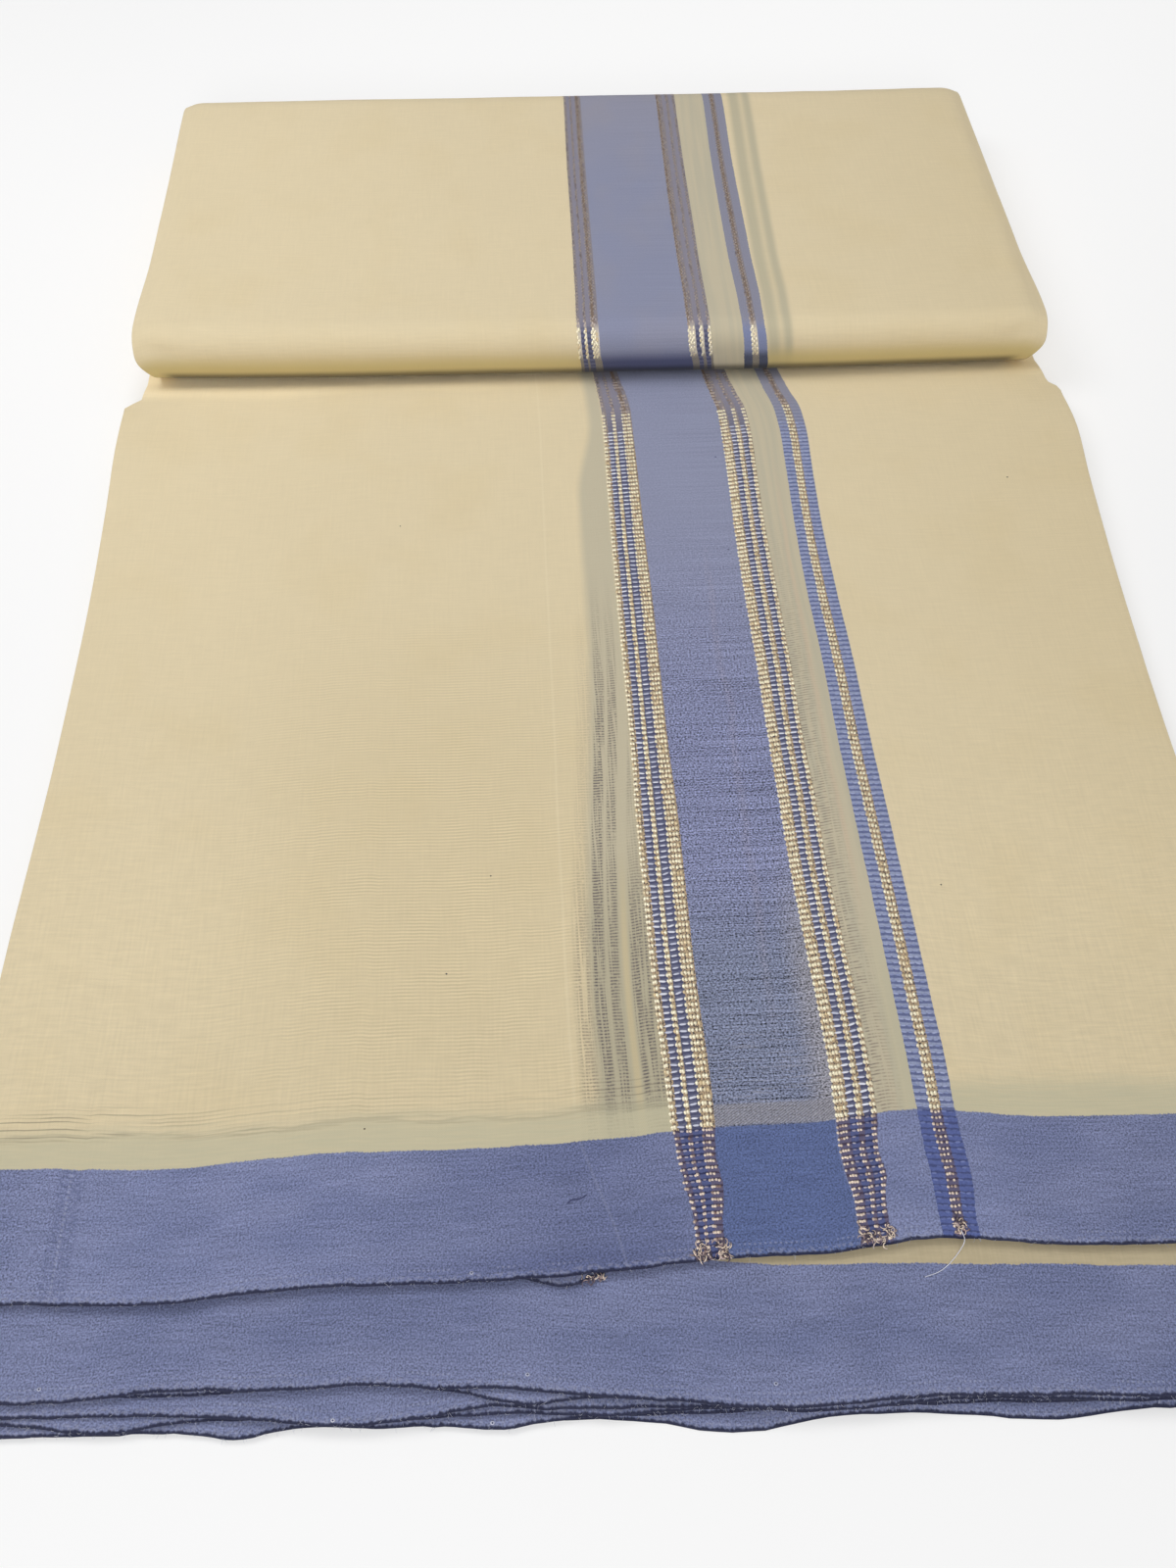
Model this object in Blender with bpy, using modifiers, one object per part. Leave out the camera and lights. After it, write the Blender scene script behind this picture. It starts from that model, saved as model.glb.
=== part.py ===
"""Folded double dhoti: one striped cotton cloth, folded lengthwise into eight leaves and rolled flat.

The eight leaves lie on one another on the floor. Their near edges, the woven selvedges, are spread
a little like the pages of a book. The far end of the bundle is folded over itself into a thick flat
roll, whose skin is the bottom leaf coming up round the far side and over the top. Leaves that show
are walls of their own. The leaves that are hidden between them share two rounded solids, layered at
their sides.

Metres, +Z up, X along the fold of the roll, -Y towards the selvedges. The origin is on the floor,
below the middle of the folded cloth.
"""

from collections import namedtuple

import bmesh
import bpy
import numpy as np

# Cloth wall, seam and stack
WALL = 0.0010                    # wall of one leaf
SEAM = 0.0003                    # clear space between two pieces
PITCH = WALL + SEAM              # height from one leaf to the next
LEVELS = 8                       # leaves in the bundle, counted up from the floor

# The flat roll
ROLL_HALF_WIDTH = 0.2452         # from the middle to each side
ROLL_HEIGHT = 0.0425             # floor to the top of the roll
ROLL_FAR = 0.3782                # the farthest point of the far turn
NOSE_FRONT = 0.1343              # the nearest point of the near turn
NOSE_FOOT = LEVELS * PITCH       # underside of the near turn, on top of the bundle
NOSE_RADIUS = (ROLL_HEIGHT - NOSE_FOOT) / 2
NOSE_CENTRE_Z = (ROLL_HEIGHT + NOSE_FOOT) / 2
FAR_RADIUS = ROLL_HEIGHT / 2
TURN_FULLNESS = 2.3              # 2 is a round turn, more is a squarer one
TUCK_END = 0.205                 # where the top leaf ends, under the roll
SKIN_END = 0.195                 # where the skin ends, tucked between the roll and the top leaf
BOTTOM_END = 0.335               # where the bottom leaf ends and the skin goes on
PILLOW_DROP = 0.0030             # how far the roll's top falls at its sides
PILLOW_WIDTH = 0.016             # over this much of the width
PILLOW_BELT = (0.014, 0.032)     # heights between which the drop grows from nothing to all
CORNER_INSET = 0.0065            # how far the near turn's lower corners are drawn in
CORNER_BELT = (0.012, 0.034)     # heights over which that inset fades, upwards
CORNER_REACH = (0.140, 0.175)    # and places over which it fades, away from the front
TOP_SEGMENTS = 5
TURN_SEGMENTS = 9

# The loose bundle in front of the roll
CORE_NEAR = -0.2620              # the hidden leaves' near end, where the single strips take over
CORE_FAR = 0.3000                # the hidden leaves' thin end, under the roll
CORE_STATIONS = (CORE_NEAR, -0.210, -0.150, -0.090, -0.030, 0.020, 0.055, 0.080, 0.100, 0.1190,
                 0.1240, 0.1285, 0.145, 0.170)
PUFF_RISE = 0.0055               # swelling of the bundle in front of the roll
PUFF_START = 0.1443
PUFF_LENGTH = 0.0500
EDGE_RISE = 0.0450               # length over which a leaf lifts towards its edge
LEAF_COLUMNS = 54
RIDGES = 6                       # layer ridges on the sides of the hidden leaves
RIDGE_DEPTH = 0.0016
CORE_INSET = 0.0026              # from the bundle's side to the valleys between those ridges

# Roll layers, seen on the two ends of the roll
ROLL_RIDGES = 6
ROLL_RIDGE_DEPTH = 0.0018
ROLL_END_INSET = 0.0022          # from the skin's side to the outer ridge
ROLL_SLIT = 0.93                 # how far in the innermost ridge lies, 1 is the middle line
ROLL_SIDE_STEPS = (0.0, 0.003, 0.007, 0.012, 0.018)  # columns of the roll, counted in from its side
ROLL_MIDDLE_COLUMNS = (0.190, 0.115, 0.040)          # and the others, from the middle
FLOOR_STATIONS = 8

SideRow = namedtuple("SideRow", "y left right")
SIDE_ROWS = (                    # the bundle's two sides, from under the roll to the selvedges
    SideRow(0.2100, -0.2450, 0.2455),
    SideRow(0.1430, -0.2445, 0.2470),
    SideRow(0.1310, -0.2446, 0.2470),
    SideRow(0.1285, -0.2447, 0.2470),
    SideRow(0.1265, -0.2460, 0.2470),
    SideRow(0.1240, -0.2505, 0.2470),
    SideRow(0.1215, -0.2521, 0.2474),
    SideRow(0.1190, -0.2521, 0.2500),
    SideRow(0.1170, -0.2520, 0.2512),
    SideRow(0.1080, -0.2520, 0.2522),
    SideRow(0.0900, -0.2520, 0.2536),
    SideRow(0.0500, -0.2508, 0.2511),
    SideRow(0.0000, -0.2500, 0.2485),
    SideRow(-0.100, -0.2508, 0.2448),
    SideRow(-0.200, -0.2540, 0.2440),
    SideRow(-0.330, -0.2545, 0.2450),
    SideRow(-0.380, -0.2540, 0.2455),
)

NoseRow = namedtuple("NoseRow", "x back")
NOSE_ROWS = (                    # how far the near turn stands back from its front line
    NoseRow(-0.2452, 0.0065),
    NoseRow(-0.2000, 0.0045),
    NoseRow(0.0000, 0.0010),
    NoseRow(0.1200, 0.0000),
    NoseRow(0.2452, 0.0012),
)
NOSE_SHIFT_FADE = (0.200, 0.300)  # the shift is whole before the first y and gone after the second

Wave = namedtuple("Wave", "x width reach lift")
Leaf = namedtuple("Leaf", "name level left_out right_out edge_left edge_right waves")
LEAVES = (
    Leaf("seventh_leaf", 1, 0.0004, -0.0006, 0.3655, 0.3740, (
        Wave(-0.147, 0.012, 0.0028, 0.0000), Wave(-0.095, 0.014, 0.0012, 0.0000),
        Wave(-0.060, 0.016, 0.0028, 0.0002), Wave(0.150, 0.030, 0.0010, 0.0004))),
    Leaf("sixth_leaf", 2, -0.0008, 0.0004, 0.3615, 0.3755, (
        Wave(-0.192, 0.020, 0.0034, 0.0003), Wave(-0.085, 0.018, 0.0010, 0.0006),
        Wave(-0.020, 0.020, 0.0015, 0.0002), Wave(0.100, 0.050, -0.0015, 0.0003))),
    Leaf("fifth_leaf", 3, 0.0006, -0.0010, 0.3595, 0.3765, (
        Wave(-0.110, 0.036, 0.0038, 0.0007), Wave(-0.064, 0.014, -0.0018, 0.0000),
        Wave(0.100, 0.040, -0.0015, 0.0002), Wave(0.190, 0.030, 0.0000, 0.0006))),
    Leaf("fourth_leaf", 4, -0.0012, 0.0008, 0.3530, 0.3775, (
        Wave(-0.110, 0.035, -0.0050, 0.0002), Wave(-0.050, 0.014, 0.0026, 0.0006),
        Wave(0.045, 0.035, 0.0043, 0.0004), Wave(0.150, 0.030, 0.0012, 0.0002))),
    Leaf("third_leaf", 5, -0.0004, -0.0012, 0.3555, 0.3760, (
        Wave(-0.165, 0.030, -0.0036, 0.0006), Wave(-0.105, 0.034, -0.0045, 0.0008),
        Wave(-0.055, 0.025, -0.0028, 0.0002), Wave(0.036, 0.030, 0.0034, 0.0006),
        Wave(0.170, 0.035, 0.0008, 0.0008))),
    Leaf("second_leaf", 6, 0.0002, 0.0006, 0.3220, 0.3180, (
        Wave(-0.036, 0.019, 0.0086, 0.0002), Wave(-0.160, 0.040, 0.0010, 0.0006))),
)
TOP_LEAF = Leaf("top_leaf", 7, 0.0, 0.0, 0.3252, 0.3258, (
    Wave(-0.182, 0.035, 0.0030, 0.0014), Wave(-0.062, 0.040, 0.0008, 0.0016),
    Wave(0.022, 0.030, -0.0028, 0.0002), Wave(0.097, 0.038, -0.0058, 0.0008),
    Wave(0.205, 0.035, 0.0000, 0.0012)))
TOP_ROWS = (0.205, 0.170, 0.150, 0.140, 0.1285, 0.1240, 0.1190, 0.112, 0.100, 0.085, 0.066, 0.044,
            0.018, -0.015, -0.060, -0.115, -0.170, -0.220, -0.258, -0.284, -0.306)
BOTTOM_LEAF = Leaf("bottom_leaf", 0, -0.0010, 0.0002, 0.3630, 0.3782, (
    Wave(-0.190, 0.018, 0.0018, 0.0000), Wave(0.020, 0.024, 0.0050, 0.0000),
    Wave(0.125, 0.024, 0.0032, 0.0000)))
STRIP_ROWS = 4                   # rows of a short leaf, which is curved only at its edge
LONG_STRIP_ROWS = 7              # rows of the short leaf whose border shows most
STRIP_MARGIN = 0.012             # from a short leaf's last row to its edge
BOTTOM_ROWS = (0.335, 0.210, 0.1285, 0.1240, 0.1190, 0.070, 0.000, -0.100, -0.200, -0.330)

# Colours (linear) and finish of the cotton
CREAM = (0.680, 0.590, 0.390)
CREAM_FOLD = (0.600, 0.500, 0.310)
SELVEDGE_BLUE = (0.170, 0.200, 0.360)
COTTON_ROUGHNESS = 0.85
SHARP_ANGLE = np.radians(50)     # edges sharper than this are shaded as edges


def smooth(t):
    """Ease from 0 to 1 with level ends."""
    t = np.clip(t, 0.0, 1.0)
    return t * t * (3.0 - 2.0 * t)


def through(rows, key, value, at):
    """Smooth curve through a table's rows: a cubic whose slope at a row follows its neighbours."""
    rows = sorted(rows, key=lambda row: getattr(row, key))
    x = np.array([getattr(row, key) for row in rows])
    y = np.array([getattr(row, value) for row in rows])
    slope = np.gradient(y, x)
    at = np.clip(np.asarray(at, dtype=float), x[0], x[-1])
    i = np.clip(np.searchsorted(x, at) - 1, 0, len(x) - 2)
    span = x[i + 1] - x[i]
    t = (at - x[i]) / span
    return ((1 + 2 * t) * (1 - t) ** 2 * y[i] + t * (1 - t) ** 2 * span * slope[i]
            + t ** 2 * (3 - 2 * t) * y[i + 1] + t ** 2 * (t - 1) * span * slope[i + 1])


def edge_y(leaf, x):
    """Near edge of a leaf: a slanting line, pushed out or in by each of its waves."""
    across = (x + ROLL_HALF_WIDTH) / (2 * ROLL_HALF_WIDTH)
    reach = leaf.edge_left + (leaf.edge_right - leaf.edge_left) * across
    for wave in leaf.waves:
        reach = reach + wave.reach * np.exp(-((x - wave.x) / wave.width) ** 2)
    return -reach


def own_lift(leaf, x, y):
    """Lift of one leaf off the one below: its waves' lifts, growing towards its edge."""
    lift = sum(wave.lift * np.exp(-((x - wave.x) / (1.6 * wave.width)) ** 2) for wave in leaf.waves)
    return lift * smooth((edge_y(leaf, x) + EDGE_RISE - y) / EDGE_RISE)


def puff(y):
    """Swelling of the bundle: a quick rise in front of the roll and a long fall after it."""
    s = np.maximum(PUFF_START - y, 0.0) / PUFF_LENGTH
    return PUFF_RISE * s * np.exp(1.0 - s)


def underside(level, x, y):
    """Height of a leaf's lower face: the stack below it, with every lift in that stack."""
    height = level * PITCH + puff(y) * level / (LEVELS - 1)
    for leaf in (*LEAVES, TOP_LEAF):
        if leaf.level <= level:
            height = height + own_lift(leaf, x, y)
    return height


def sides(y, left_out=0.0, right_out=0.0):
    """The bundle's left and right side at y, moved out by a leaf's own amounts."""
    return through(SIDE_ROWS, "y", "left", y) - left_out, through(SIDE_ROWS, "y", "right", y) + right_out


def roll_floor(y):
    """Underside of the rolled layers: level over the near turn's foot, then down to the far turn."""
    high = NOSE_FOOT + PITCH
    t = (y - TUCK_END) / (BOTTOM_END - TUCK_END)
    return high + (PITCH - high) * smooth(t)


def floor_stations():
    """Places along the roll's underside, shared by the solids above and below it."""
    return np.linspace(TUCK_END + 2 * WALL, BOTTOM_END, FLOOR_STATIONS)


def turn(centre_y, centre_z, radius, start, stop, segments):
    """Points round a fold: a super-ellipse, fuller than a circle at its two corners."""
    angle = np.radians(np.linspace(start, stop, segments + 1))
    power = 2.0 / TURN_FULLNESS
    y = centre_y + radius * np.sign(np.cos(angle)) * np.abs(np.cos(angle)) ** power
    z = centre_z + radius * np.sign(np.sin(angle)) * np.abs(np.sin(angle)) ** power
    return np.stack([y, z], axis=1)


def skin_path():
    """Outer line of the roll in Y and Z: floor, far turn, top, near turn and the tuck below it."""
    far_y = ROLL_FAR - FAR_RADIUS
    nose_y = NOSE_FRONT + NOSE_RADIUS
    far = turn(far_y, FAR_RADIUS, FAR_RADIUS, -90, 90, TURN_SEGMENTS + 2)
    near = turn(nose_y, NOSE_CENTRE_Z, NOSE_RADIUS, 90, 270, TURN_SEGMENTS)
    top_y = np.linspace(far_y, nose_y, TOP_SEGMENTS + 1)[1:-1]
    top = np.stack([top_y, np.full_like(top_y, ROLL_HEIGHT)], axis=1)
    start = np.array([[BOTTOM_END + SEAM, 0.0]])
    end = np.array([[(nose_y + SKIN_END) / 2, NOSE_FOOT], [SKIN_END, NOSE_FOOT]])
    return np.concatenate([start, far, top, near, end])


def inward(path, distance):
    """A path moved towards its inside, square to its own direction."""
    along = np.gradient(path, axis=0)
    along /= np.linalg.norm(along, axis=1, keepdims=True)
    return path + distance * np.stack([-along[:, 1], along[:, 0]], axis=1)


def shape_roll(x, y, z):
    """Place a point of the straight roll: slanted near turn, drawn-in corners, top falling at the sides."""
    low = 1.0 - smooth((z - CORNER_BELT[0]) / (CORNER_BELT[1] - CORNER_BELT[0]))
    front = 1.0 - smooth((y - CORNER_REACH[0]) / (CORNER_REACH[1] - CORNER_REACH[0]))
    x = x * (1.0 - CORNER_INSET / ROLL_HALF_WIDTH * low * front * smooth(np.abs(x) / ROLL_HALF_WIDTH))
    back = through(NOSE_ROWS, "x", "back", x)
    y = y + back * (1.0 - smooth((y - NOSE_SHIFT_FADE[0]) / (NOSE_SHIFT_FADE[1] - NOSE_SHIFT_FADE[0])))
    side = smooth((np.abs(x) - (ROLL_HALF_WIDTH - PILLOW_WIDTH)) / PILLOW_WIDTH)
    belt = smooth((z - PILLOW_BELT[0]) / (PILLOW_BELT[1] - PILLOW_BELT[0]))
    return x, y, z - PILLOW_DROP * side ** 2 * belt


def cotton(name, colour):
    """Matt woven cotton."""
    material = bpy.data.materials.new(name)
    material.use_nodes = True
    shader = material.node_tree.nodes["Principled BSDF"]
    shader.inputs["Base Color"].default_value = (*colour, 1.0)
    shader.inputs["Roughness"].default_value = COTTON_ROUGHNESS
    shader.inputs["Metallic"].default_value = 0.0
    return material


def add_object(collection, name, mesh, colour):
    """Put a mesh in the part's collection under its own name and material."""
    mesh.materials.append(cotton(name + "_cotton", colour))
    mesh.shade_smooth()
    mesh.set_sharp_from_angle(angle=SHARP_ANGLE)
    thing = bpy.data.objects.new(name, mesh)
    collection.objects.link(thing)
    return thing


def grid_wall(collection, name, colour, columns, rows, place):
    """A cloth wall: a grid bent by place(u, row), then thickened on its normals' side."""
    bm = bmesh.new()
    bmesh.ops.create_grid(bm, x_segments=columns, y_segments=rows, size=0.5)
    for vert in bm.verts:
        u = vert.co.x + 0.5
        row = round((0.5 - vert.co.y) * rows)
        vert.co = place(u, row)
    bmesh.ops.recalc_face_normals(bm, faces=bm.faces)
    mean = sum((face.normal.z for face in bm.faces))
    if mean < 0:
        bmesh.ops.reverse_faces(bm, faces=bm.faces)
    mesh = bpy.data.meshes.new(name)
    bm.to_mesh(mesh)
    bm.free()
    wall = add_object(collection, name, mesh, colour)
    thickness = wall.modifiers.new("wall", "SOLIDIFY")
    thickness.thickness = WALL
    thickness.offset = 1.0
    return wall


def add_leaf(collection, leaf, row_ys, colour):
    """A leaf with a waved near edge. Its rows run from its hidden end to that edge."""
    def place(u, row):
        y = row_ys[row] if row < len(row_ys) else edge_y(leaf, 0.0)
        for _ in range(3):
            left, right = sides(y, leaf.left_out, leaf.right_out)
            x = left + (right - left) * u
            if row == len(row_ys):
                y = edge_y(leaf, x)
        return float(x), float(y), float(underside(leaf.level, x, y))

    return grid_wall(collection, leaf.name, colour, LEAF_COLUMNS, len(row_ys), place)


def strip_rows(leaf):
    """Rows of a short leaf: even steps from the hidden leaves to just inside its edge."""
    inner = -min(leaf.edge_left, leaf.edge_right) + STRIP_MARGIN
    rows = LONG_STRIP_ROWS if leaf.name == "third_leaf" else STRIP_ROWS
    return tuple(np.linspace(CORE_NEAR - SEAM, inner, rows))


def roll_columns():
    """Places across the roll, close together where its top falls at the sides."""
    out = [*(ROLL_HALF_WIDTH - step for step in ROLL_SIDE_STEPS), *ROLL_MIDDLE_COLUMNS]
    return [-x for x in out] + out[::-1]


def add_skin(collection):
    """The roll's skin: the bottom leaf, going up round the far turn and over to the near turn."""
    path = inward(skin_path(), WALL)
    columns = roll_columns()

    def place(u, row):
        x = columns[round(u * (len(columns) - 1))]
        return [float(value) for value in shape_roll(x, path[row][0], path[row][1])]

    return grid_wall(collection, "roll_skin", CREAM, len(columns) - 1, len(path) - 1, place)


def loft(collection, name, loops, colour):
    """A closed solid through a row of loops of equal length, with flat ends."""
    count = len(loops[0])
    verts = [tuple(float(v) for v in point) for loop in loops for point in loop]
    faces = []
    for i in range(len(loops) - 1):
        for j in range(count):
            k = (j + 1) % count
            faces.append((i * count + j, i * count + k, (i + 1) * count + k, (i + 1) * count + j))
    faces.append(tuple(range(count)))
    faces.append(tuple(range((len(loops) - 1) * count, len(loops) * count)))
    mesh = bpy.data.meshes.new(name)
    mesh.from_pydata(verts, [], faces)
    bm = bmesh.new()
    bm.from_mesh(mesh)
    bmesh.ops.recalc_face_normals(bm, faces=bm.faces)
    bm.to_mesh(mesh)
    bm.free()
    return add_object(collection, name, mesh, colour)


def ridge_offsets(depth):
    """Side profile of stacked layers: for each layer a valley and a rounded crest, bottom to top."""
    share = (np.arange(3 * RIDGES) % 3 + 0.5) / 3.0
    height = (np.arange(3 * RIDGES) // 3 + share) / RIDGES
    return height, depth * np.sin(np.pi * share)


def add_core(collection):
    """The hidden leaves of the bundle, one solid, with the six layers' crests on its sides."""
    heights, crests = ridge_offsets(RIDGE_DEPTH)
    under_roll = [y for y in floor_stations() if y < CORE_FAR]
    stations = np.concatenate([CORE_STATIONS, [TUCK_END + SEAM], under_roll])
    loops = []
    for y in stations:
        left, right = sides(y, -CORE_INSET, -CORE_INSET)
        if y > TUCK_END + SEAM:
            top = float(roll_floor(y)) - SEAM
        else:
            top = (LEVELS - 1) * PITCH - SEAM + float(puff(y))
        levels = PITCH + (top - PITCH) * heights
        right_side = [(right + c, y, z) for z, c in zip(levels, crests)]
        left_side = [(left - c, y, z) for z, c in zip(levels, crests)][::-1]
        loops.append([(left, y, PITCH), (right, y, PITCH), *right_side, (right, y, top), (left, y, top),
                      *left_side])
    return loft(collection, "pressed_leaves", loops, CREAM_FOLD)


def add_roll_layers(collection):
    """The rolled hidden layers, one solid inside the skin, with layer crests on its two ends."""
    outer = inward(skin_path(), PITCH)
    floor_y = floor_stations()
    floor = np.stack([floor_y, roll_floor(floor_y)], axis=1)
    loop = np.concatenate([outer[:-1], floor])
    near_y = NOSE_FRONT + NOSE_RADIUS
    far_y = ROLL_FAR - FAR_RADIUS
    middle_y = np.clip(loop[:, 0], near_y, far_y)
    middle_z = (ROLL_HEIGHT - PITCH + np.interp(middle_y, floor_y, floor[:, 1])) / 2
    middle = np.stack([middle_y, middle_z], axis=1)
    steps = 2 * ROLL_RIDGES
    depths = [(k / steps * ROLL_SLIT, ROLL_RIDGE_DEPTH * (1 if k % 2 else 0)) for k in range(steps + 1)]
    loops = []
    for side in (-1, 1):
        ring = []
        for share, crest in depths:
            x = side * (ROLL_HALF_WIDTH - ROLL_END_INSET - ROLL_RIDGE_DEPTH + crest)
            points = loop + (middle - loop) * share
            ring.append([shape_roll(x, y, z) for y, z in points])
        loops.extend(ring[::-1] if side < 0 else [*middle_rings(loop), *ring])
    return loft(collection, "roll_layers", loops, CREAM_FOLD)


def middle_rings(loop):
    """The rolled layers' rings between their two ends, which follow the skin's own columns."""
    rings = []
    for x in roll_columns()[2:-2]:
        rings.append([shape_roll(x, y, z) for y, z in loop])
    return rings


def clear_scene():
    """Remove every object, so that the script can run again in the same file."""
    for thing in list(bpy.data.objects):
        bpy.data.objects.remove(thing, do_unlink=True)


def main():
    """Build every solid of the folded cloth, from the floor up."""
    clear_scene()
    collection = bpy.data.collections.new("folded_dhoti")
    bpy.context.scene.collection.children.link(collection)
    add_leaf(collection, BOTTOM_LEAF, BOTTOM_ROWS, CREAM)
    for leaf in LEAVES:
        add_leaf(collection, leaf, strip_rows(leaf), SELVEDGE_BLUE)
    add_core(collection)
    add_leaf(collection, TOP_LEAF, TOP_ROWS, CREAM)
    add_roll_layers(collection)
    add_skin(collection)


main()
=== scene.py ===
"""Looks of the folded dhoti: fine cloth leaves, woven stripes, zari, selvedges and a soft studio.

Everything is in metres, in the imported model's own frame: +Z up, X along the fold of the roll, -Y
towards the selvedges. The sizes and tables of the form repeat those of the solids, so each fine
shell lies on its own solid.
"""

import logging
from dataclasses import dataclass, field
from enum import Enum
from typing import Any, Callable, Iterable, Sequence

import bpy
import numpy as np
from mathutils import Matrix, Vector


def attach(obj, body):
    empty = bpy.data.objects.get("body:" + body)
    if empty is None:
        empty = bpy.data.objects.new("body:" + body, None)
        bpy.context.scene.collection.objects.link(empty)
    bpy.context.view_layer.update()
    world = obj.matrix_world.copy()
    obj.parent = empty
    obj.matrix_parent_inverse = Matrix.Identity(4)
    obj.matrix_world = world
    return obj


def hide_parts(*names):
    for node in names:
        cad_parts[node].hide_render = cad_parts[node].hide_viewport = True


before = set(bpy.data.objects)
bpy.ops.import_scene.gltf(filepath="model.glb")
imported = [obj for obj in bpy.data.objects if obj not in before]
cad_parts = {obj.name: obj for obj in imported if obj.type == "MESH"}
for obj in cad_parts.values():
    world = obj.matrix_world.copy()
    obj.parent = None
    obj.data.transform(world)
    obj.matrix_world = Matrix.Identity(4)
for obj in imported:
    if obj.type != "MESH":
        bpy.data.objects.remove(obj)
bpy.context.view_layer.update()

Array = np.ndarray
Swatch = tuple[float, float, float]
Ripple = tuple[float, float, int]                # height, cell and seed
Placing = Callable[[Array, Array], Array]        # gives points of a surface for cloth coordinates

LOG = logging.getLogger("dhoti")
BODY = "root"
MM = 0.001

# Cloth and stack, as in the solids
WALL = 0.0010                    # room that one leaf has in the stack
SEAM = 0.0003
PITCH = WALL + SEAM              # height from one leaf to the next
LEVELS = 8
PLY = 0.00042                    # thickness of the woven cloth itself

# The flat roll, as in the solids
HALF_WIDTH = 0.2452
ROLL_HEIGHT = 0.0425
ROLL_FAR = 0.3782
NOSE_FRONT = 0.1343
NOSE_FOOT = LEVELS * PITCH
NOSE_RADIUS = (ROLL_HEIGHT - NOSE_FOOT) / 2
NOSE_CENTRE_Z = (ROLL_HEIGHT + NOSE_FOOT) / 2
FAR_RADIUS = ROLL_HEIGHT / 2
TURN_FULLNESS = 2.3
TUCK_END = 0.205
SKIN_END = 0.195
BOTTOM_END = 0.335
PILLOW_DROP = 0.0030             # fall of the roll's top at its sides
PILLOW_WIDTH = 0.016
PILLOW_BELT = (0.014, 0.032)     # heights between which that fall sets in
CORNER_INSET = 0.0065            # how far the near turn's lower corners are drawn in
CORNER_BELT = (0.012, 0.034)
CORNER_REACH = (0.140, 0.175)
ROLL_WAIST = 0.0085              # share by which the roll is narrower behind its near turn
WAIST_REACH = (0.155, 0.205)
NOSE_SHIFT_FADE = (0.200, 0.300)
NOSE_ROWS = (                    # x, and how far the near turn's front lies back there
    (-0.2452, 0.0065), (-0.2000, 0.0045), (0.0000, 0.0010), (0.1200, 0.0000), (0.2452, 0.0012))

# The loose bundle, as in the solids
CORE_NEAR = -0.2620
PUFF_RISE = 0.0055
PUFF_START = 0.1443
PUFF_LENGTH = 0.0500
EDGE_RISE = 0.0450               # length over which a leaf lifts towards its edge
SIDE_ROWS = (                    # y, left side, right side
    (0.2100, -0.2450, 0.2455), (0.1430, -0.2445, 0.2470), (0.1310, -0.2446, 0.2470),
    (0.1285, -0.2447, 0.2470), (0.1265, -0.2460, 0.2470), (0.1240, -0.2505, 0.2470),
    (0.1215, -0.2521, 0.2474), (0.1190, -0.2521, 0.2500), (0.1170, -0.2520, 0.2512),
    (0.1080, -0.2520, 0.2522), (0.0900, -0.2520, 0.2536), (0.0500, -0.2508, 0.2511),
    (0.000, -0.2500, 0.2485), (-0.100, -0.2508, 0.2448), (-0.200, -0.2540, 0.2440),
    (-0.330, -0.2545, 0.2450), (-0.380, -0.2540, 0.2455),
)


@dataclass(frozen=True)
class Wave:
    """One swell of a leaf's near edge: its place and half width, its reach forward and its lift."""

    x: float
    width: float
    reach: float
    lift: float


@dataclass(frozen=True)
class Leaf:
    """One leaf of the bundle: its place in the stack, its edge at both sides and its edge's waves."""

    node: str
    level: int
    left_out: float
    right_out: float
    edge_left: float
    edge_right: float
    waves: tuple[Wave, ...]


SEVENTH = Leaf("seventh_leaf", 1, 0.0004, -0.0006, 0.3655, 0.3740, (
    Wave(-0.147, 0.012, 0.0028, 0.0000), Wave(-0.095, 0.014, 0.0012, 0.0000),
    Wave(-0.060, 0.016, 0.0028, 0.0002), Wave(0.150, 0.030, 0.0010, 0.0004)))
SIXTH = Leaf("sixth_leaf", 2, -0.0008, 0.0004, 0.3615, 0.3755, (
    Wave(-0.192, 0.020, 0.0034, 0.0003), Wave(-0.085, 0.018, 0.0010, 0.0006),
    Wave(-0.020, 0.020, 0.0015, 0.0002), Wave(0.100, 0.050, -0.0015, 0.0003)))
FIFTH = Leaf("fifth_leaf", 3, 0.0006, -0.0010, 0.3595, 0.3765, (
    Wave(-0.110, 0.036, 0.0038, 0.0007), Wave(-0.064, 0.014, -0.0018, 0.0000),
    Wave(0.100, 0.040, -0.0015, 0.0002), Wave(0.190, 0.030, 0.0000, 0.0006)))
FOURTH = Leaf("fourth_leaf", 4, -0.0012, 0.0008, 0.3530, 0.3775, (
    Wave(-0.110, 0.035, -0.0050, 0.0002), Wave(-0.050, 0.014, 0.0026, 0.0006),
    Wave(0.045, 0.035, 0.0043, 0.0004), Wave(0.150, 0.030, 0.0012, 0.0002)))
THIRD = Leaf("third_leaf", 5, -0.0004, -0.0012, 0.3555, 0.3760, (
    Wave(-0.165, 0.030, -0.0036, 0.0006), Wave(-0.105, 0.034, -0.0045, 0.0008),
    Wave(-0.055, 0.025, -0.0028, 0.0002), Wave(0.036, 0.030, 0.0034, 0.0006),
    Wave(0.170, 0.035, 0.0008, 0.0008)))
SECOND = Leaf("second_leaf", 6, 0.0002, 0.0006, 0.3220, 0.3180, (
    Wave(-0.036, 0.019, 0.0086, 0.0002), Wave(-0.160, 0.040, 0.0010, 0.0006)))
TOP = Leaf("top_leaf", 7, 0.0, 0.0, 0.3252, 0.3258, (
    Wave(-0.182, 0.035, 0.0030, 0.0014), Wave(-0.062, 0.040, 0.0008, 0.0016),
    Wave(0.022, 0.030, -0.0028, 0.0002), Wave(0.097, 0.038, -0.0058, 0.0008),
    Wave(0.205, 0.035, 0.0000, 0.0012)))
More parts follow.
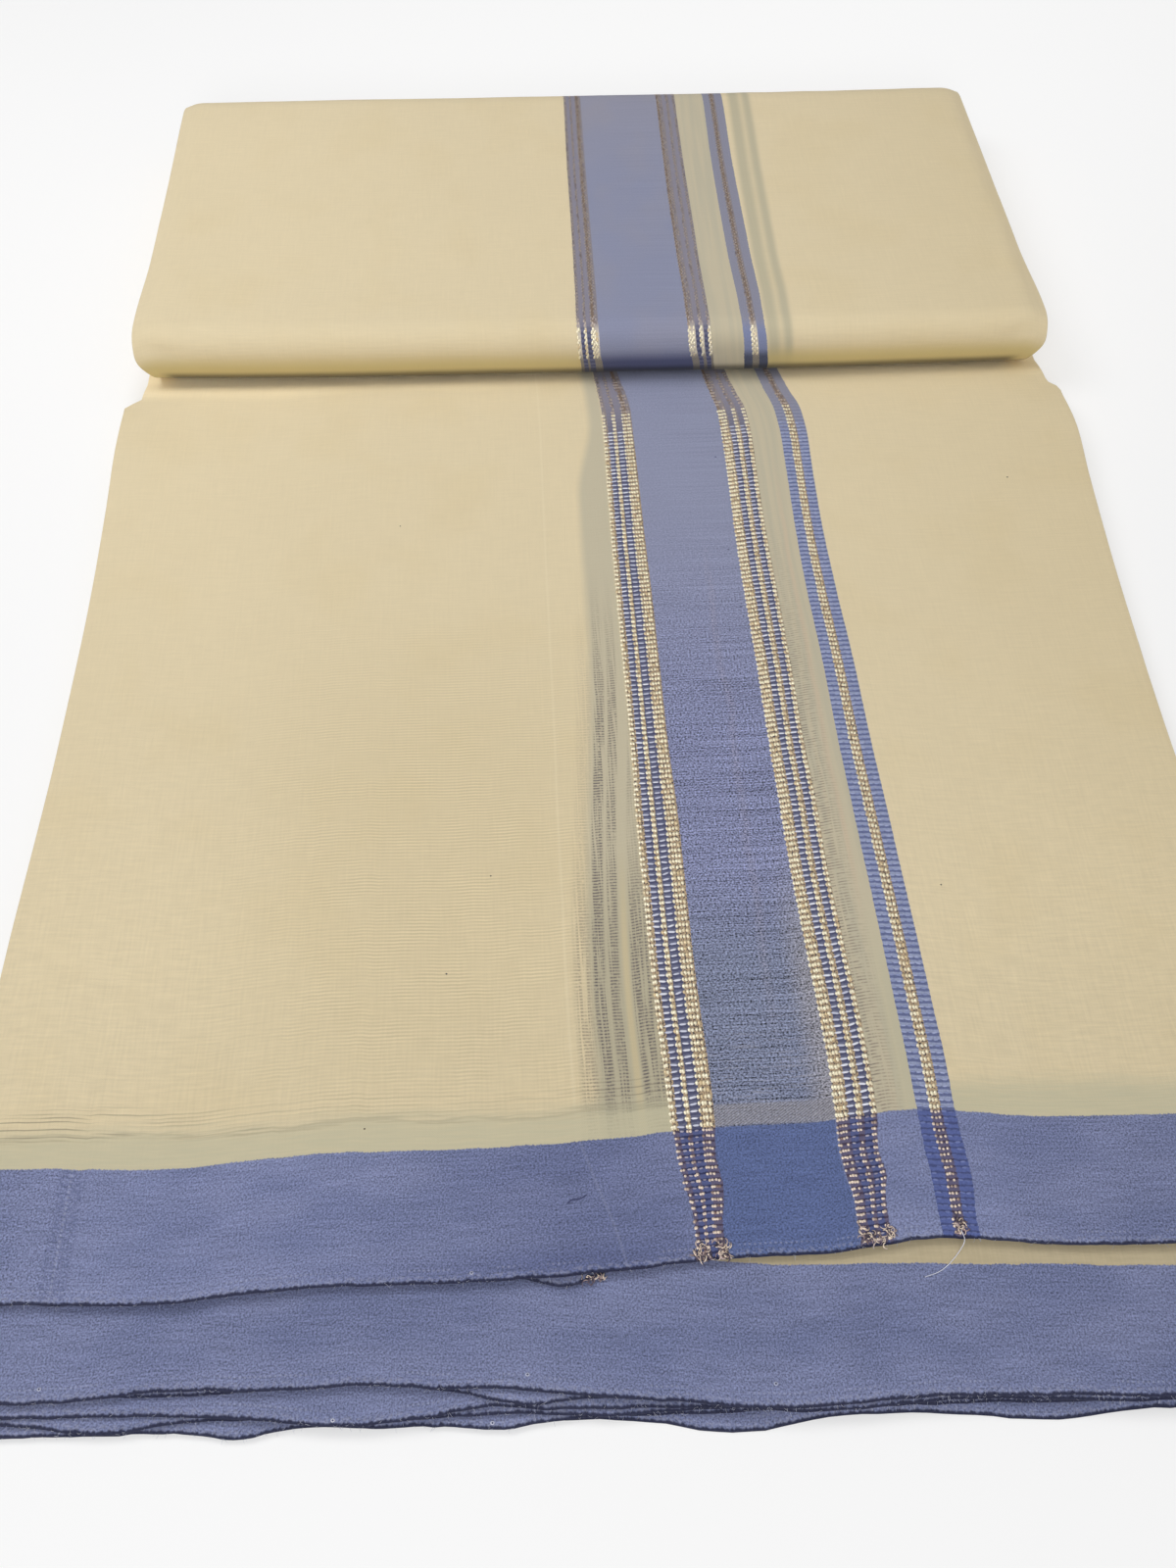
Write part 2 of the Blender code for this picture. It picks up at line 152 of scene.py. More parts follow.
BOTTOM = Leaf("bottom_leaf", 0, -0.0010, 0.0002, 0.3630, 0.3782, (
    Wave(-0.190, 0.018, 0.0018, 0.0000), Wave(0.020, 0.024, 0.0050, 0.0000),
    Wave(0.125, 0.024, 0.0032, 0.0000)))
SHORT_LEAVES = (SEVENTH, SIXTH, FIFTH, FOURTH, THIRD, SECOND)


# ---- curves and noise


def ease(t: Array | float) -> Array:
    """Return t limited to 0..1 and eased with level ends."""
    t = np.clip(t, 0.0, 1.0)
    return t * t * (3.0 - 2.0 * t)


def step(value: Array | float, low: float, high: float) -> Array:
    """Eased step of a value from 0 at low to 1 at high; high may lie below low."""
    return ease((value - low) / (high - low))


def through(keys: Sequence[float], values: Any, at: Array | float) -> Array:
    """Smooth curve through a table.

    Between two rows it is a cubic whose slope at a row follows the row's neighbours.

    Args:
        keys: the rows' places.
        values: one value, or a row of values, for each key.
        at: where the curve is wanted.

    Returns:
        The curve's values, with the columns of the table last.
    """
    keys = np.asarray(keys, float)
    values = np.asarray(values, float)
    order = np.argsort(keys)
    keys, values = keys[order], values[order]
    slope = np.gradient(values, keys, axis=0)
    at = np.clip(np.asarray(at, float), keys[0], keys[-1])
    i = np.clip(np.searchsorted(keys, at) - 1, 0, len(keys) - 2)
    span = keys[i + 1] - keys[i]
    t = (at - keys[i]) / span
    if values.ndim > 1:
        span, t = span[..., None], t[..., None]
    return ((1 + 2 * t) * (1 - t) ** 2 * values[i] + t * (1 - t) ** 2 * span * slope[i]
            + t ** 2 * (3 - 2 * t) * values[i + 1] + t ** 2 * (t - 1) * span * slope[i + 1])


def hills(x: Array, y: Array, cell_x: float, cell_y: float, seed: int) -> Array:
    """Soft uneven hills from -1 to 1.

    Random heights stand on a lattice of the cell's size, and each point takes the eased mix of the
    four round it.

    Args:
        x, y: the points.
        cell_x, cell_y: the lattice's spacing along each of them.
        seed: which set of random heights.

    Returns:
        The height at each point.
    """
    table = np.random.default_rng(seed).uniform(-1.0, 1.0, (128, 128))
    gx, gy = np.asarray(x, float) / cell_x, np.asarray(y, float) / cell_y
    ix, iy = np.floor(gx).astype(int), np.floor(gy).astype(int)
    fx, fy = ease(gx - ix), ease(gy - iy)
    near = table[ix % 128, iy % 128] * (1 - fx) + table[(ix + 1) % 128, iy % 128] * fx
    far = table[ix % 128, (iy + 1) % 128] * (1 - fx) + table[(ix + 1) % 128, (iy + 1) % 128] * fx
    return near * (1 - fy) + far * fy


def ripples(x: Array, rows: Iterable[Ripple], shift: int = 0) -> Array:
    """Sum of hills that vary along one direction only, with a shift added to their seeds."""
    return sum(rise * hills(x, np.zeros_like(x), cell, 1.0, seed + shift) for rise, cell, seed in rows)


@dataclass(frozen=True)
class Crease:
    """A soft trough or ridge between two points, deepest in its middle and gone at its ends."""

    start: tuple[float, float]
    end: tuple[float, float]
    width: float
    rise: float

    def height(self, x: Array, y: Array) -> Array:
        """Height that the crease adds: a bell across its line, times a bow along it.

        Args:
            x, y: places on the cloth.

        Returns:
            The height at each place.
        """
        start, end = np.array(self.start), np.array(self.end)
        run = end - start
        length = float(np.hypot(*run))
        along = ((x - start[0]) * run[0] + (y - start[1]) * run[1]) / length
        across = ((x - start[0]) * run[1] - (y - start[1]) * run[0]) / length
        share = np.clip(along / length, 0.0, 1.0)
        return self.rise * np.exp(-((across / self.width) ** 2)) * np.sin(np.pi * share) ** 0.8


# ---- the common form


class Bundle:
    """The stack of loose leaves: where its edges, sides and levels lie."""

    leaves: tuple[Leaf, ...] = (*SHORT_LEAVES, TOP)

    def edge_y(self, leaf: Leaf, x: Array) -> Array:
        """Near edge of a leaf: a slanting line, pushed out or in by each wave's bell.

        Args:
            leaf: the leaf.
            x: places across it.

        Returns:
            The edge's Y at each place.
        """
        across = (x + HALF_WIDTH) / (2 * HALF_WIDTH)
        reach = leaf.edge_left + (leaf.edge_right - leaf.edge_left) * across
        for wave in leaf.waves:
            reach = reach + wave.reach * np.exp(-((x - wave.x) / wave.width) ** 2)
        return -reach

    def own_lift(self, leaf: Leaf, x: Array, y: Array) -> Array:
        """Lift of a leaf off the one below, growing with ease towards its edge."""
        lift = sum(w.lift * np.exp(-((x - w.x) / (1.6 * w.width)) ** 2) for w in leaf.waves)
        return lift * ease((self.edge_y(leaf, x) + EDGE_RISE - y) / EDGE_RISE)

    def puff(self, y: Array) -> Array:
        """Swelling of the bundle: a quick rise in front of the roll and a long fall after it."""
        s = np.maximum(PUFF_START - y, 0.0) / PUFF_LENGTH
        return PUFF_RISE * s * np.exp(1.0 - s)

    def underside(self, level: float, x: Array, y: Array) -> Array:
        """Height of a level's lower face: the stack below it, with the lifts of that stack.

        Args:
            level: which level, 0 at the floor.
            x, y: places on it.

        Returns:
            The height at each place.
        """
        height = level * PITCH + self.puff(y) * level / (LEVELS - 1)
        for leaf in self.leaves:
            if leaf.level <= level:
                height = height + self.own_lift(leaf, x, y)
        return height

    def sides(self, y: Array, left_out: float = 0.0, right_out: float = 0.0) -> tuple[Array, Array]:
        """The bundle's left and right side at y, moved out by a leaf's own amounts.

        Args:
            y: places along the bundle.
            left_out, right_out: a leaf's own amounts.

        Returns:
            Both sides' X at each place.
        """
        rows = np.array(SIDE_ROWS)
        both = through(rows[:, 0], rows[:, 1:], y)
        return both[..., 0] - left_out, both[..., 1] + right_out


BUNDLE = Bundle()


class Roll:
    """The flat roll: its outer line in Y and Z, and how a straight roll is bent into the real one."""

    @staticmethod
    def turn(centre_y: float, centre_z: float, radius: float, start: float, stop: float,
             count: int) -> Array:
        """Points round a fold: a super-ellipse, a little fuller than a circle at its corners.

        Args:
            centre_y, centre_z, radius: the fold's middle and half height.
            start, stop: angles in degrees, from +Y towards +Z.
            count: steps from one to the other.

        Returns:
            (count + 1, 2) places in Y and Z.
        """
        angle = np.radians(np.linspace(start, stop, count + 1))
        power = 2.0 / TURN_FULLNESS
        y = centre_y + radius * np.sign(np.cos(angle)) * np.abs(np.cos(angle)) ** power
        z = centre_z + radius * np.sign(np.sin(angle)) * np.abs(np.sin(angle)) ** power
        return np.stack([y, z], axis=1)

    @classmethod
    def outer_line(cls) -> Array:
        """The skin's outer face: floor, far turn, top, near turn and the tuck below it."""
        far_y = ROLL_FAR - FAR_RADIUS
        nose_y = NOSE_FRONT + NOSE_RADIUS
        far = cls.turn(far_y, FAR_RADIUS, FAR_RADIUS, -90, 90, 44)
        near = cls.turn(nose_y, NOSE_CENTRE_Z, NOSE_RADIUS, 90, 270, 48)
        top_y = np.linspace(far_y, nose_y, 66)[1:-1]
        top = np.stack([top_y, np.full_like(top_y, ROLL_HEIGHT)], axis=1)
        start = np.array([[BOTTOM_END + SEAM, 0.0], [(BOTTOM_END + far_y) / 2, 0.0]])
        tuck_y = np.linspace(nose_y, SKIN_END, 8)[1:]
        tuck = np.stack([tuck_y, np.full_like(tuck_y, NOSE_FOOT)], axis=1)
        return np.concatenate([start, far, top, near, tuck])

    @staticmethod
    def inside_normals(line: Array) -> Array:
        """Unit vectors square to a line in Y and Z, pointing into the roll.

        Args:
            line: (n, 2) points.

        Returns:
            (n, 2) vectors.
        """
        along = np.gradient(line, axis=0)
        along /= np.linalg.norm(along, axis=1, keepdims=True)
        return np.stack([-along[:, 1], along[:, 0]], axis=1)

    @staticmethod
    def floor(y: Array) -> Array:
        """Underside of the rolled layers: level over the near turn's foot, then down to the far turn."""
        high = NOSE_FOOT + PITCH
        return high + (PITCH - high) * step(y, TUCK_END, BOTTOM_END)

    @staticmethod
    def bend(x: Array, y: Array, z: Array) -> Array:
        """Place points of the straight roll.

        The near turn's lower corners are drawn in, its front slants, and the top falls at the sides.

        Args:
            x, y, z: places on the straight roll.

        Returns:
            The places on the real one, X, Y and Z last.
        """
        corner = (1.0 - step(z, *CORNER_BELT)) * (1.0 - step(y, *CORNER_REACH))
        x = x * (1.0 - CORNER_INSET / HALF_WIDTH * corner * ease(np.abs(x) / HALF_WIDTH))
        x = x * (1.0 - ROLL_WAIST * step(y, *WAIST_REACH))
        rows = np.array(NOSE_ROWS)
        y = y + through(rows[:, 0], rows[:, 1], x) * (1.0 - step(y, *NOSE_SHIFT_FADE))
        side = step(np.abs(x), HALF_WIDTH - PILLOW_WIDTH, HALF_WIDTH)
        return np.stack([x, y, z - PILLOW_DROP * side ** 2 * step(z, *PILLOW_BELT)], axis=-1)


# ---- the woven stripes


class Kind(Enum):
    """What is woven in one column of the stripes."""

    CREAM = "cream ground"
    ZARI = "zari"
    LADDER = "blue ladder"
    WIDE = "wide blue band"
    GAP = "grey-green gap"
    RIB = "ribbed blue"


@dataclass(frozen=True)
class Column:
    """One column of the stripes, in millimetres across the cloth, with its lanes of floats."""

    start: float
    kind: Kind
    lanes: tuple[float, ...] = ()


COLUMNS = (
    Column(-60.0, Kind.CREAM),
    Column(2.2, Kind.ZARI, (2.75, 3.75)),
    Column(4.5, Kind.LADDER, (6.3,)),
    Column(8.1, Kind.ZARI, (8.75, 9.75)),
    Column(10.4, Kind.LADDER, (12.2,)),
    Column(14.0, Kind.ZARI, (14.6, 15.9, 17.3, 18.7)),
    Column(19.35, Kind.WIDE),
    Column(64.0, Kind.ZARI, (64.7, 65.9, 67.1, 68.4)),
    Column(69.1, Kind.LADDER, (70.85,)),
    Column(72.6, Kind.ZARI, (73.2, 74.3)),
    Column(75.0, Kind.LADDER, (76.8,)),
    Column(78.6, Kind.ZARI, (79.2, 80.3)),
    Column(80.8, Kind.GAP),
    Column(95.5, Kind.RIB, (96.7, 99.1)),
    Column(100.3, Kind.ZARI, (101.0, 102.4, 103.8)),
    Column(104.5, Kind.RIB, (105.8, 108.2)),
    Column(109.5, Kind.CREAM),
)
GROUP_SIDES = (2.0, 19.5, 64.0, 81.0, 95.5, 109.5)
OUTER_SIDES = (-60.0, 160.0)     # beyond these the stripes' sideways wander has faded away
FIELD_PITCH = 2.65               # mm from one rung of the floats to the next, on the field
BORDER_PITCH = 2.30              # and on the selvedge border
BORDER = 46.5                    # mm, width of the selvedge border

SHEET_STRIPES = (                # y in metres, then the six sides of the three groups in mm
    (0.150, -1.5, 11.5, 58.5, 71.5, 88.0, 100.0),
    (0.135, -0.5, 13.0, 59.5, 73.0, 89.5, 101.5),
    (0.120, 0.5, 15.5, 61.0, 75.5, 91.3, 103.8),
    (0.108, 1.2, 16.8, 63.0, 78.2, 93.8, 107.0),
    (0.095, 1.5, 17.0, 63.5, 79.3, 94.8, 108.2),
    (0.060, 1.5, 17.4, 63.6, 79.2, 94.7, 107.5),
    (0.020, 1.4, 17.9, 63.2, 79.0, 94.0, 107.0),
    (-0.020, 1.7, 18.6, 63.4, 79.8, 94.2, 107.8),
    (-0.060, 2.2, 18.9, 64.0, 80.3, 95.2, 109.0),
    (-0.110, 2.5, 19.2, 64.2, 80.3, 95.6, 109.6),
    (-0.135, 2.2, 20.1, 64.6, 81.0, 96.2, 110.3),
    (-0.170, 2.6, 20.3, 64.9, 81.0, 97.0, 111.0),
    (-0.205, 3.0, 20.4, 66.2, 82.3, 97.8, 111.8),
    (-0.230, 3.6, 20.9, 67.2, 83.4, 98.2, 112.2),
    (-0.255, 4.8, 21.8, 67.8, 83.8, 98.6, 112.6),
    (-0.275, 5.6, 21.8, 67.2, 83.2, 98.6, 112.2),
    (-0.288, 7.2, 21.0, 67.0, 81.4, 98.6, 112.6),
    (-0.297, 8.6, 22.3, 67.6, 82.6, 98.9, 113.0),
    (-0.304, 10.0, 21.8, 69.4, 80.8, 99.0, 112.6),
    (-0.312, 10.8, 20.6, 69.2, 80.2, 99.0, 111.4),
    (-0.326, 10.6, 22.6, 70.0, 81.4, 99.2, 111.8),
)
ROLL_STRIPES = (                 # metres of cloth up from the front of the near turn, then as above
    (-0.015, -7.5, 4.5, 54.0, 66.0, 83.0, 95.0),
    (-0.005, -8.0, 3.5, 53.0, 64.5, 81.5, 93.5),
    (0.005, -9.2, 2.0, 50.2, 62.6, 80.0, 91.5),
    (0.015, -9.8, 1.3, 49.2, 61.6, 79.0, 90.0),
    (0.045, -9.6, 1.4, 49.0, 61.0, 78.4, 89.8),
    (0.100, -9.2, 1.4, 48.6, 61.0, 77.8, 89.6),
    (0.160, -9.0, 1.6, 49.0, 61.0, 78.2, 89.6),
    (0.230, -8.2, 2.2, 50.0, 62.0, 79.8, 91.0),
    (0.320, -8.0, 2.4, 50.4, 62.4, 80.2, 91.4),
)


@dataclass(frozen=True)
class StripePath:
    """How the straight stripes of the cloth wander sideways along it."""

    rows: tuple[tuple[float, ...], ...]

    def _knots(self, along: Array) -> tuple[list[Array], list[float]]:
        """Sides of the groups at each place along, with the still outer sides, and the cloth's own.

        Args:
            along: places along the cloth.

        Returns:
            The wandering sides, and the straight ones they come from.
        """
        rows = np.array(self.rows)
        sides = through(rows[:, 0], rows[:, 1:] * MM, along)
        low, high = (np.full_like(sides[..., 0], side * MM) for side in OUTER_SIDES)
        own = [OUTER_SIDES[0], *GROUP_SIDES, OUTER_SIDES[1]]
        return [low, *np.moveaxis(sides, -1, 0), high], [side * MM for side in own]

    @staticmethod
    def _carry(value: Array, start: Sequence[Array | float], end: Sequence[Array | float]) -> Array:
        """Carry a value from one set of knots to another, straight from each knot to the next.

        Args:
            value: places among the first knots.
            start, end: both sets of knots, in rising order.

        Returns:
            The same places among the second knots.
        """
        carried = end[0] + np.minimum(value - start[0], 0.0) + np.maximum(value - start[-1], 0.0)
        for i in range(len(start) - 1):
            share = np.clip((value - start[i]) / (start[i + 1] - start[i]), 0.0, 1.0)
            carried = carried + share * (end[i + 1] - end[i])
        return carried

    def to_cloth(self, x: Array, along: Array) -> Array:
        """Place across the cloth of points at x."""
        return self._carry(x, *self._knots(along))

    def to_x(self, u: Array, along: Array) -> Array:
        """The other way round: x of points with a given place across the cloth."""
        return self._carry(u, *reversed(self._knots(along)))


# ---- mesh making


def new_piece(name: str, points: Array, faces: list[Array], uv: Array, material: bpy.types.Material,
              smooth: bool = True) -> bpy.types.Object:
    """Make one mesh object from whole arrays.

    Args:
        name: the piece's name.
        points: (n, 3) places in the frame.
        faces: arrays of vertex numbers, each (count, corners).
        uv: (n, 2) cloth coordinates in metres, one for each vertex.
        material: its finish.
        smooth: whether the faces are shaded smooth.

    Returns:
        The object, linked, at the origin, riding on the body.
    """
    mesh = bpy.data.meshes.new(name)
    corners = np.concatenate([part.ravel() for part in faces]).astype(np.int32)
    sizes = np.concatenate([np.full(len(part), part.shape[1]) for part in faces]).astype(np.int32)
    mesh.vertices.add(len(points))
    mesh.vertices.foreach_set("co", np.ascontiguousarray(points, np.float32).ravel())
    mesh.loops.add(len(corners))
    mesh.loops.foreach_set("vertex_index", corners)
    mesh.polygons.add(len(sizes))
    mesh.polygons.foreach_set("loop_start", np.concatenate([[0], np.cumsum(sizes)[:-1]]).astype(np.int32))
    layer = mesh.uv_layers.new(name="cloth")
    layer.data.foreach_set("uv", uv[corners].astype(np.float32).ravel())
    mesh.polygons.foreach_set("use_smooth", np.full(len(sizes), smooth))
    mesh.update(calc_edges=True)
    mesh.validate()
    mesh.materials.append(material)
    piece = bpy.data.objects.new(name, mesh)
    bpy.context.scene.collection.objects.link(piece)
    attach(piece, BODY)
    LOG.info("%s: %d points, %d faces", name, len(points), len(sizes))
    return piece


def lengths(line: Array) -> Array:
    """Length along a line up to each of its points."""
    steps = np.linalg.norm(np.diff(line, axis=0), axis=1)
    return np.concatenate([[0.0], np.cumsum(steps)])


def grid_faces(rows: int, columns: int, flip: bool = False, ring: bool = False) -> Array:
    """Quads of a grid of points, row by row.

    Args:
        rows: points along the first direction.
        columns: points along the second.
        flip: whether the faces point the other way.
        ring: whether the last column joins the first.

    Returns:
        (count, 4) vertex numbers.
    """
    i = np.arange(rows - 1)[:, None]
    j = np.arange(columns if ring else columns - 1)[None, :]
    k = (j + 1) % columns
    here, next_row = i * columns, (i + 1) * columns
    quads = np.stack([here + j, here + k, next_row + k, next_row + j], axis=-1)
    quads = quads.reshape(-1, 4)
    return quads[:, ::-1] if flip else quads


@dataclass(frozen=True)
class SideFold:
    """The turn at a leaf's side: the ply goes round a small radius and a little way back."""

    radius: float
    back: float
    steps: int = 6
    back_steps: int = 3

    def stations(self, columns: int) -> tuple[Array, Array, Array, Array]:
        """Cross stations of a leaf, from the end of its left return to the end of its right one.

        Args:
            columns: how many steps the leaf's flat middle has.

        Returns:
            The share across the middle, the offset out in X, the drop, and the cloth's length past
            the middle's end, for each station.
        """
        angle = np.linspace(0.0, np.pi, self.steps + 1)[1:]
        away = np.linspace(0.0, self.back, self.back_steps + 1)[1:]
        out = np.concatenate([self.radius * np.sin(angle), -away])
        drop = np.concatenate([self.radius * (1 - np.cos(angle)), np.full(len(away), 2 * self.radius)])
        arc = np.concatenate([self.radius * angle, np.pi * self.radius + away])
        middle = np.linspace(0.0, 1.0, columns + 1)
        still = np.zeros_like(middle)
        share = np.concatenate([np.zeros_like(out), middle, np.ones_like(out)])
        dx = np.concatenate([-out[::-1], still, out])
        dz = np.concatenate([drop[::-1], still, drop])
        past = np.concatenate([-arc[::-1], still, arc])
        return share, dx, dz, past


# ---- materials


def swatch(red: float, green: float, blue: float) -> Swatch:
    """Turn a colour as seen, 0 to 255, into the light that it returns.

    Args:
        red, green, blue: the colour as seen.

    Returns:
        The linear colour, 0 to 1.
    """
    seen = np.array([red, green, blue]) / 255.0
    light = np.where(seen <= 0.04045, seen / 12.92, ((seen + 0.055) / 1.055) ** 2.4)
    return tuple(float(value) for value in light)


class Wire:
    """One number or colour in a node tree. Arithmetic on it adds Math nodes."""

    def __init__(self, bench: "Bench", socket: bpy.types.NodeSocket) -> None:
        """Hold an output socket and the bench it belongs to."""
        self.bench = bench
        self.socket = socket

    def __add__(self, other: "Wire | float") -> "Wire":
        """Sum."""
        return self.bench.math("ADD", self, other)

    def __sub__(self, other: "Wire | float") -> "Wire":
        """Difference."""
        return self.bench.math("SUBTRACT", self, other)

    def __rsub__(self, other: float) -> "Wire":
        """Difference from a plain number."""
        return self.bench.math("SUBTRACT", other, self)

    def __mul__(self, other: "Wire | float") -> "Wire":
        """Product."""
        return self.bench.math("MULTIPLY", self, other)

    __radd__ = __add__
    __rmul__ = __mul__

    def ease(self, low: float, high: float) -> "Wire":
        """Eased step from 0 at low to 1 at high; high may lie below low.

        Args:
            low, high: where the step starts and ends.

        Returns:
            The step.
        """
        if low > high:
            return 1.0 - self.ease(high, low)
        return self.bench.wire("ShaderNodeMapRange", {"interpolation_type": "SMOOTHSTEP"},
                               {0: self, 1: low, 2: high})

    def belt(self, low: float, high: float, soft: float) -> "Wire":
        """1 between low and high, fading out over the soft width at each end."""
        return self.ease(low - soft, low + soft) * self.ease(high + soft, high - soft)

    def spread(self, low: float, high: float) -> "Wire":
        """Straight step from 0 at low to 1 at high, limited at both."""
        return self.bench.wire("ShaderNodeMapRange", {"clamp": True}, {0: self, 1: low, 2: high})

    def wave(self, pitch: float) -> "Wire":
        """Sine of a length, from -1 to 1, with the given pitch."""
        return self.bench.math("SINE", self * (2 * np.pi / pitch))


class Bench:
    """A node tree, with the few calls that the finishes are written in."""

    def __init__(self, owner: bpy.types.Material | bpy.types.World, output: str) -> None:
        """Start the owner's tree afresh with its output node.

        Args:
            owner: what the tree belongs to.
            output: type of its output node.
        """
        owner.use_nodes = True
        self.tree = owner.node_tree
        self.tree.nodes.clear()
        self.output = self.tree.nodes.new(output)

    def node(self, kind: str, settings: dict[str, Any] | None = None,
             sockets: dict[Any, Any] | None = None) -> bpy.types.Node:
        """Add a node.

        Args:
            kind: the node's type.
            settings: its own properties, set first. "stops" fills a colour ramp.
            sockets: values or wires for its inputs, by name or number.

        Returns:
            The node.
        """
        node = self.tree.nodes.new(kind)
        for key, value in (settings or {}).items():
            if key == "stops":
                self._fill_ramp(node.color_ramp, value)
            else:
                setattr(node, key, value)
        for key, value in (sockets or {}).items():
            self.plug(node.inputs[key], value)
        return node

    def plug(self, socket: bpy.types.NodeSocket, value: Any) -> None:
        """Link a wire to a socket, or set a plain value on it.

        Args:
            socket: the input.
            value: a wire, number or colour.
        """
        if isinstance(value, Wire):
            self.tree.links.new(value.socket, socket)
        elif isinstance(value, tuple) and socket.type == "RGBA":
            socket.default_value = (*value, 1.0)
        else:
            socket.default_value = value

    @staticmethod
    def _fill_ramp(ramp: bpy.types.ColorRamp, stops: Iterable[tuple[float, Swatch]]) -> None:
        """Put stops of place and colour into a ramp that steps from one to the next.

        Args:
            ramp: the node's ramp.
            stops: places from 0 to 1 and their colours.
        """
        ramp.interpolation = "CONSTANT"
        for number, (place, colour) in enumerate(stops):
            stop = ramp.elements[number] if number < 2 else ramp.elements.new(place)
            stop.position = place
            stop.color = (*colour, 1.0)

    def wire(self, kind: str, settings: dict[str, Any] | None = None,
             sockets: dict[Any, Any] | None = None, output: int | str = 0) -> Wire:
        """Add a node and return one of its outputs."""
        return Wire(self, self.node(kind, settings, sockets).outputs[output])

    def math(self, operation: str, *values: Wire | float) -> Wire:
        """Add a Math node."""
        return self.wire("ShaderNodeMath", {"operation": operation}, dict(enumerate(values)))

    def mix(self, share: Wire | float, first: Wire | Swatch, second: Wire | Swatch) -> Wire:
        """Mix two colours: first at 0, second at 1."""
        return self.wire("ShaderNodeMix", {"data_type": "RGBA", "clamp_factor": True},
                         {0: share, 6: first, 7: second}, output=2)

    def shade(self, colour: Wire | Swatch, tone: Wire) -> Wire:
        """Multiply a colour by a tone near 1.

        Args:
            colour: the colour.
            tone: the tone.

        Returns:
            The product.
        """
        grey = self.wire("ShaderNodeCombineColor", None, {0: tone, 1: tone, 2: tone})
        return self.wire("ShaderNodeMix", {"data_type": "RGBA", "blend_type": "MULTIPLY"},
                         {0: 1.0, 6: colour, 7: grey}, output=2)

    def parts(self, kind: str, whole: Wire) -> tuple[Wire, ...]:
        """The outputs of a node that takes a colour or a place apart."""
        return tuple(Wire(self, output) for output in self.node(kind, None, {0: whole}).outputs)


class Surface(Bench):
    """The node tree of one material, with its Principled shader."""

    def __init__(self, name: str) -> None:
        """Start a material.

        Args:
            name: the material's name.
        """
        self.material = bpy.data.materials.new(name)
        super().__init__(self.material, "ShaderNodeOutputMaterial")
        self.shader = self.node("ShaderNodeBsdfPrincipled")
        self.tree.links.new(self.shader.outputs[0], self.output.inputs["Surface"])

    def finish(self, colour: Wire | Swatch, roughness: float, height: Wire | None = None,
               depth: float = 0.0, **fixed: Wire | float) -> bpy.types.Material:
        """Connect the shader.

        Args:
            colour, roughness: what the surface looks like.
            height: relief from 0 to 1, made a bump.
            depth: how deep that relief is, in metres.
            **fixed: other sockets, by name with _ for each space.

        Returns:
            The finished material.
        """
        self.plug(self.shader.inputs["Base Color"], colour)
        self.plug(self.shader.inputs["Roughness"], roughness)
        for key, value in fixed.items():
            self.plug(self.shader.inputs[key.replace("_", " ")], value)
        if height is not None:
            bump = self.wire("ShaderNodeBump", None, {"Strength": 1.0, "Distance": depth, "Height": height})
            self.plug(self.shader.inputs["Normal"], bump)
        return self.material


class ClothSurface(Surface):
    """A material drawn from the piece's own cloth coordinates: u across and v along, in millimetres."""

    def __init__(self, name: str) -> None:
        """Start a material and read the coordinates.

        Args:
            name: the material's name.
        """
        super().__init__(name)
        uv = self.wire("ShaderNodeUVMap", {"uv_map": "cloth"})
        across, along, _ = self.parts("ShaderNodeSeparateXYZ", uv)
        self.u, self.v = across * 1000.0, along * 1000.0

    def grain(self, across: float, along: float, seed: float, detail: float = 1.0) -> Wire:
        """Noise from 0 to 1, mean a half.

        Args:
            across, along: how many grains there are to a millimetre; 0 where it doesn't vary that way.
            seed: which noise.
            detail: how many finer layers it has.

        Returns:
            The noise.
        """
        place = self.wire("ShaderNodeCombineXYZ", None,
                          {0: self.u * across if across else 0.0, 1: self.v * along if along else 0.0})
        apart = self.wire("ShaderNodeVectorMath", {"operation": "ADD"},
                          {0: place, 1: (7.31 * seed, 3.17 * seed, 0.0)})
        return self.wire("ShaderNodeTexNoise", {"noise_dimensions": "2D"},
                         {"Vector": apart, "Scale": 1.0, "Detail": detail, "Roughness": 0.5})


CREAM = swatch(223, 207, 172)
CREAM_WARM = swatch(216, 198, 158)
CREAM_PALE = swatch(198, 191, 162)
GREY_GREEN = swatch(190, 182, 159)
SHADE_GREEN = swatch(174, 168, 146)
BLUE = swatch(142, 146, 171)
BLUE_NEAR = swatch(132, 137, 170)
BLUE_LOW = swatch(124, 131, 156)
BORDER_BLUE = swatch(124, 131, 166)
BORDER_WORN = swatch(112, 120, 156)
BORDER_DEEP = swatch(92, 106, 150)
LADDER_DARK = swatch(80, 82, 110)
LADDER_PRESSED = swatch(136, 132, 146)
RIB_PRESSED = swatch(138, 138, 155)
RIB_NOSE = swatch(128, 136, 170)
RIB_BLUE = swatch(100, 108, 146)
RIB_LIGHT = swatch(150, 158, 188)
ZARI_GROUND = swatch(66, 57, 64)
ZARI_WORN = swatch(186, 164, 134)
ZARI_PRESSED = swatch(138, 131, 137)
ZARI_TARNISHED = swatch(128, 110, 96)
NAVY = swatch(50, 54, 88)
MAROON = swatch(70, 59, 78)
ZARI_MAUVE = swatch(98, 92, 118)
CROSSING_BLUE = swatch(84, 92, 136)
RIB_CROSSING = swatch(88, 100, 154)
THREAD_SHADE = swatch(94, 86, 90)
# painted shade: the warm dark of the crease under the roll's near turn
NOSE_CREASE_SHADE = swatch(200, 182, 126)
# painted shade of the wide band low on the roll's near turn
NOSE_SHADE_NAVY = swatch(72, 76, 110)
# the zari's gold, painted lighter: a painted highlight where the near turn catches the light
NOSE_GOLD_HIGHLIGHT = swatch(214, 203, 188)
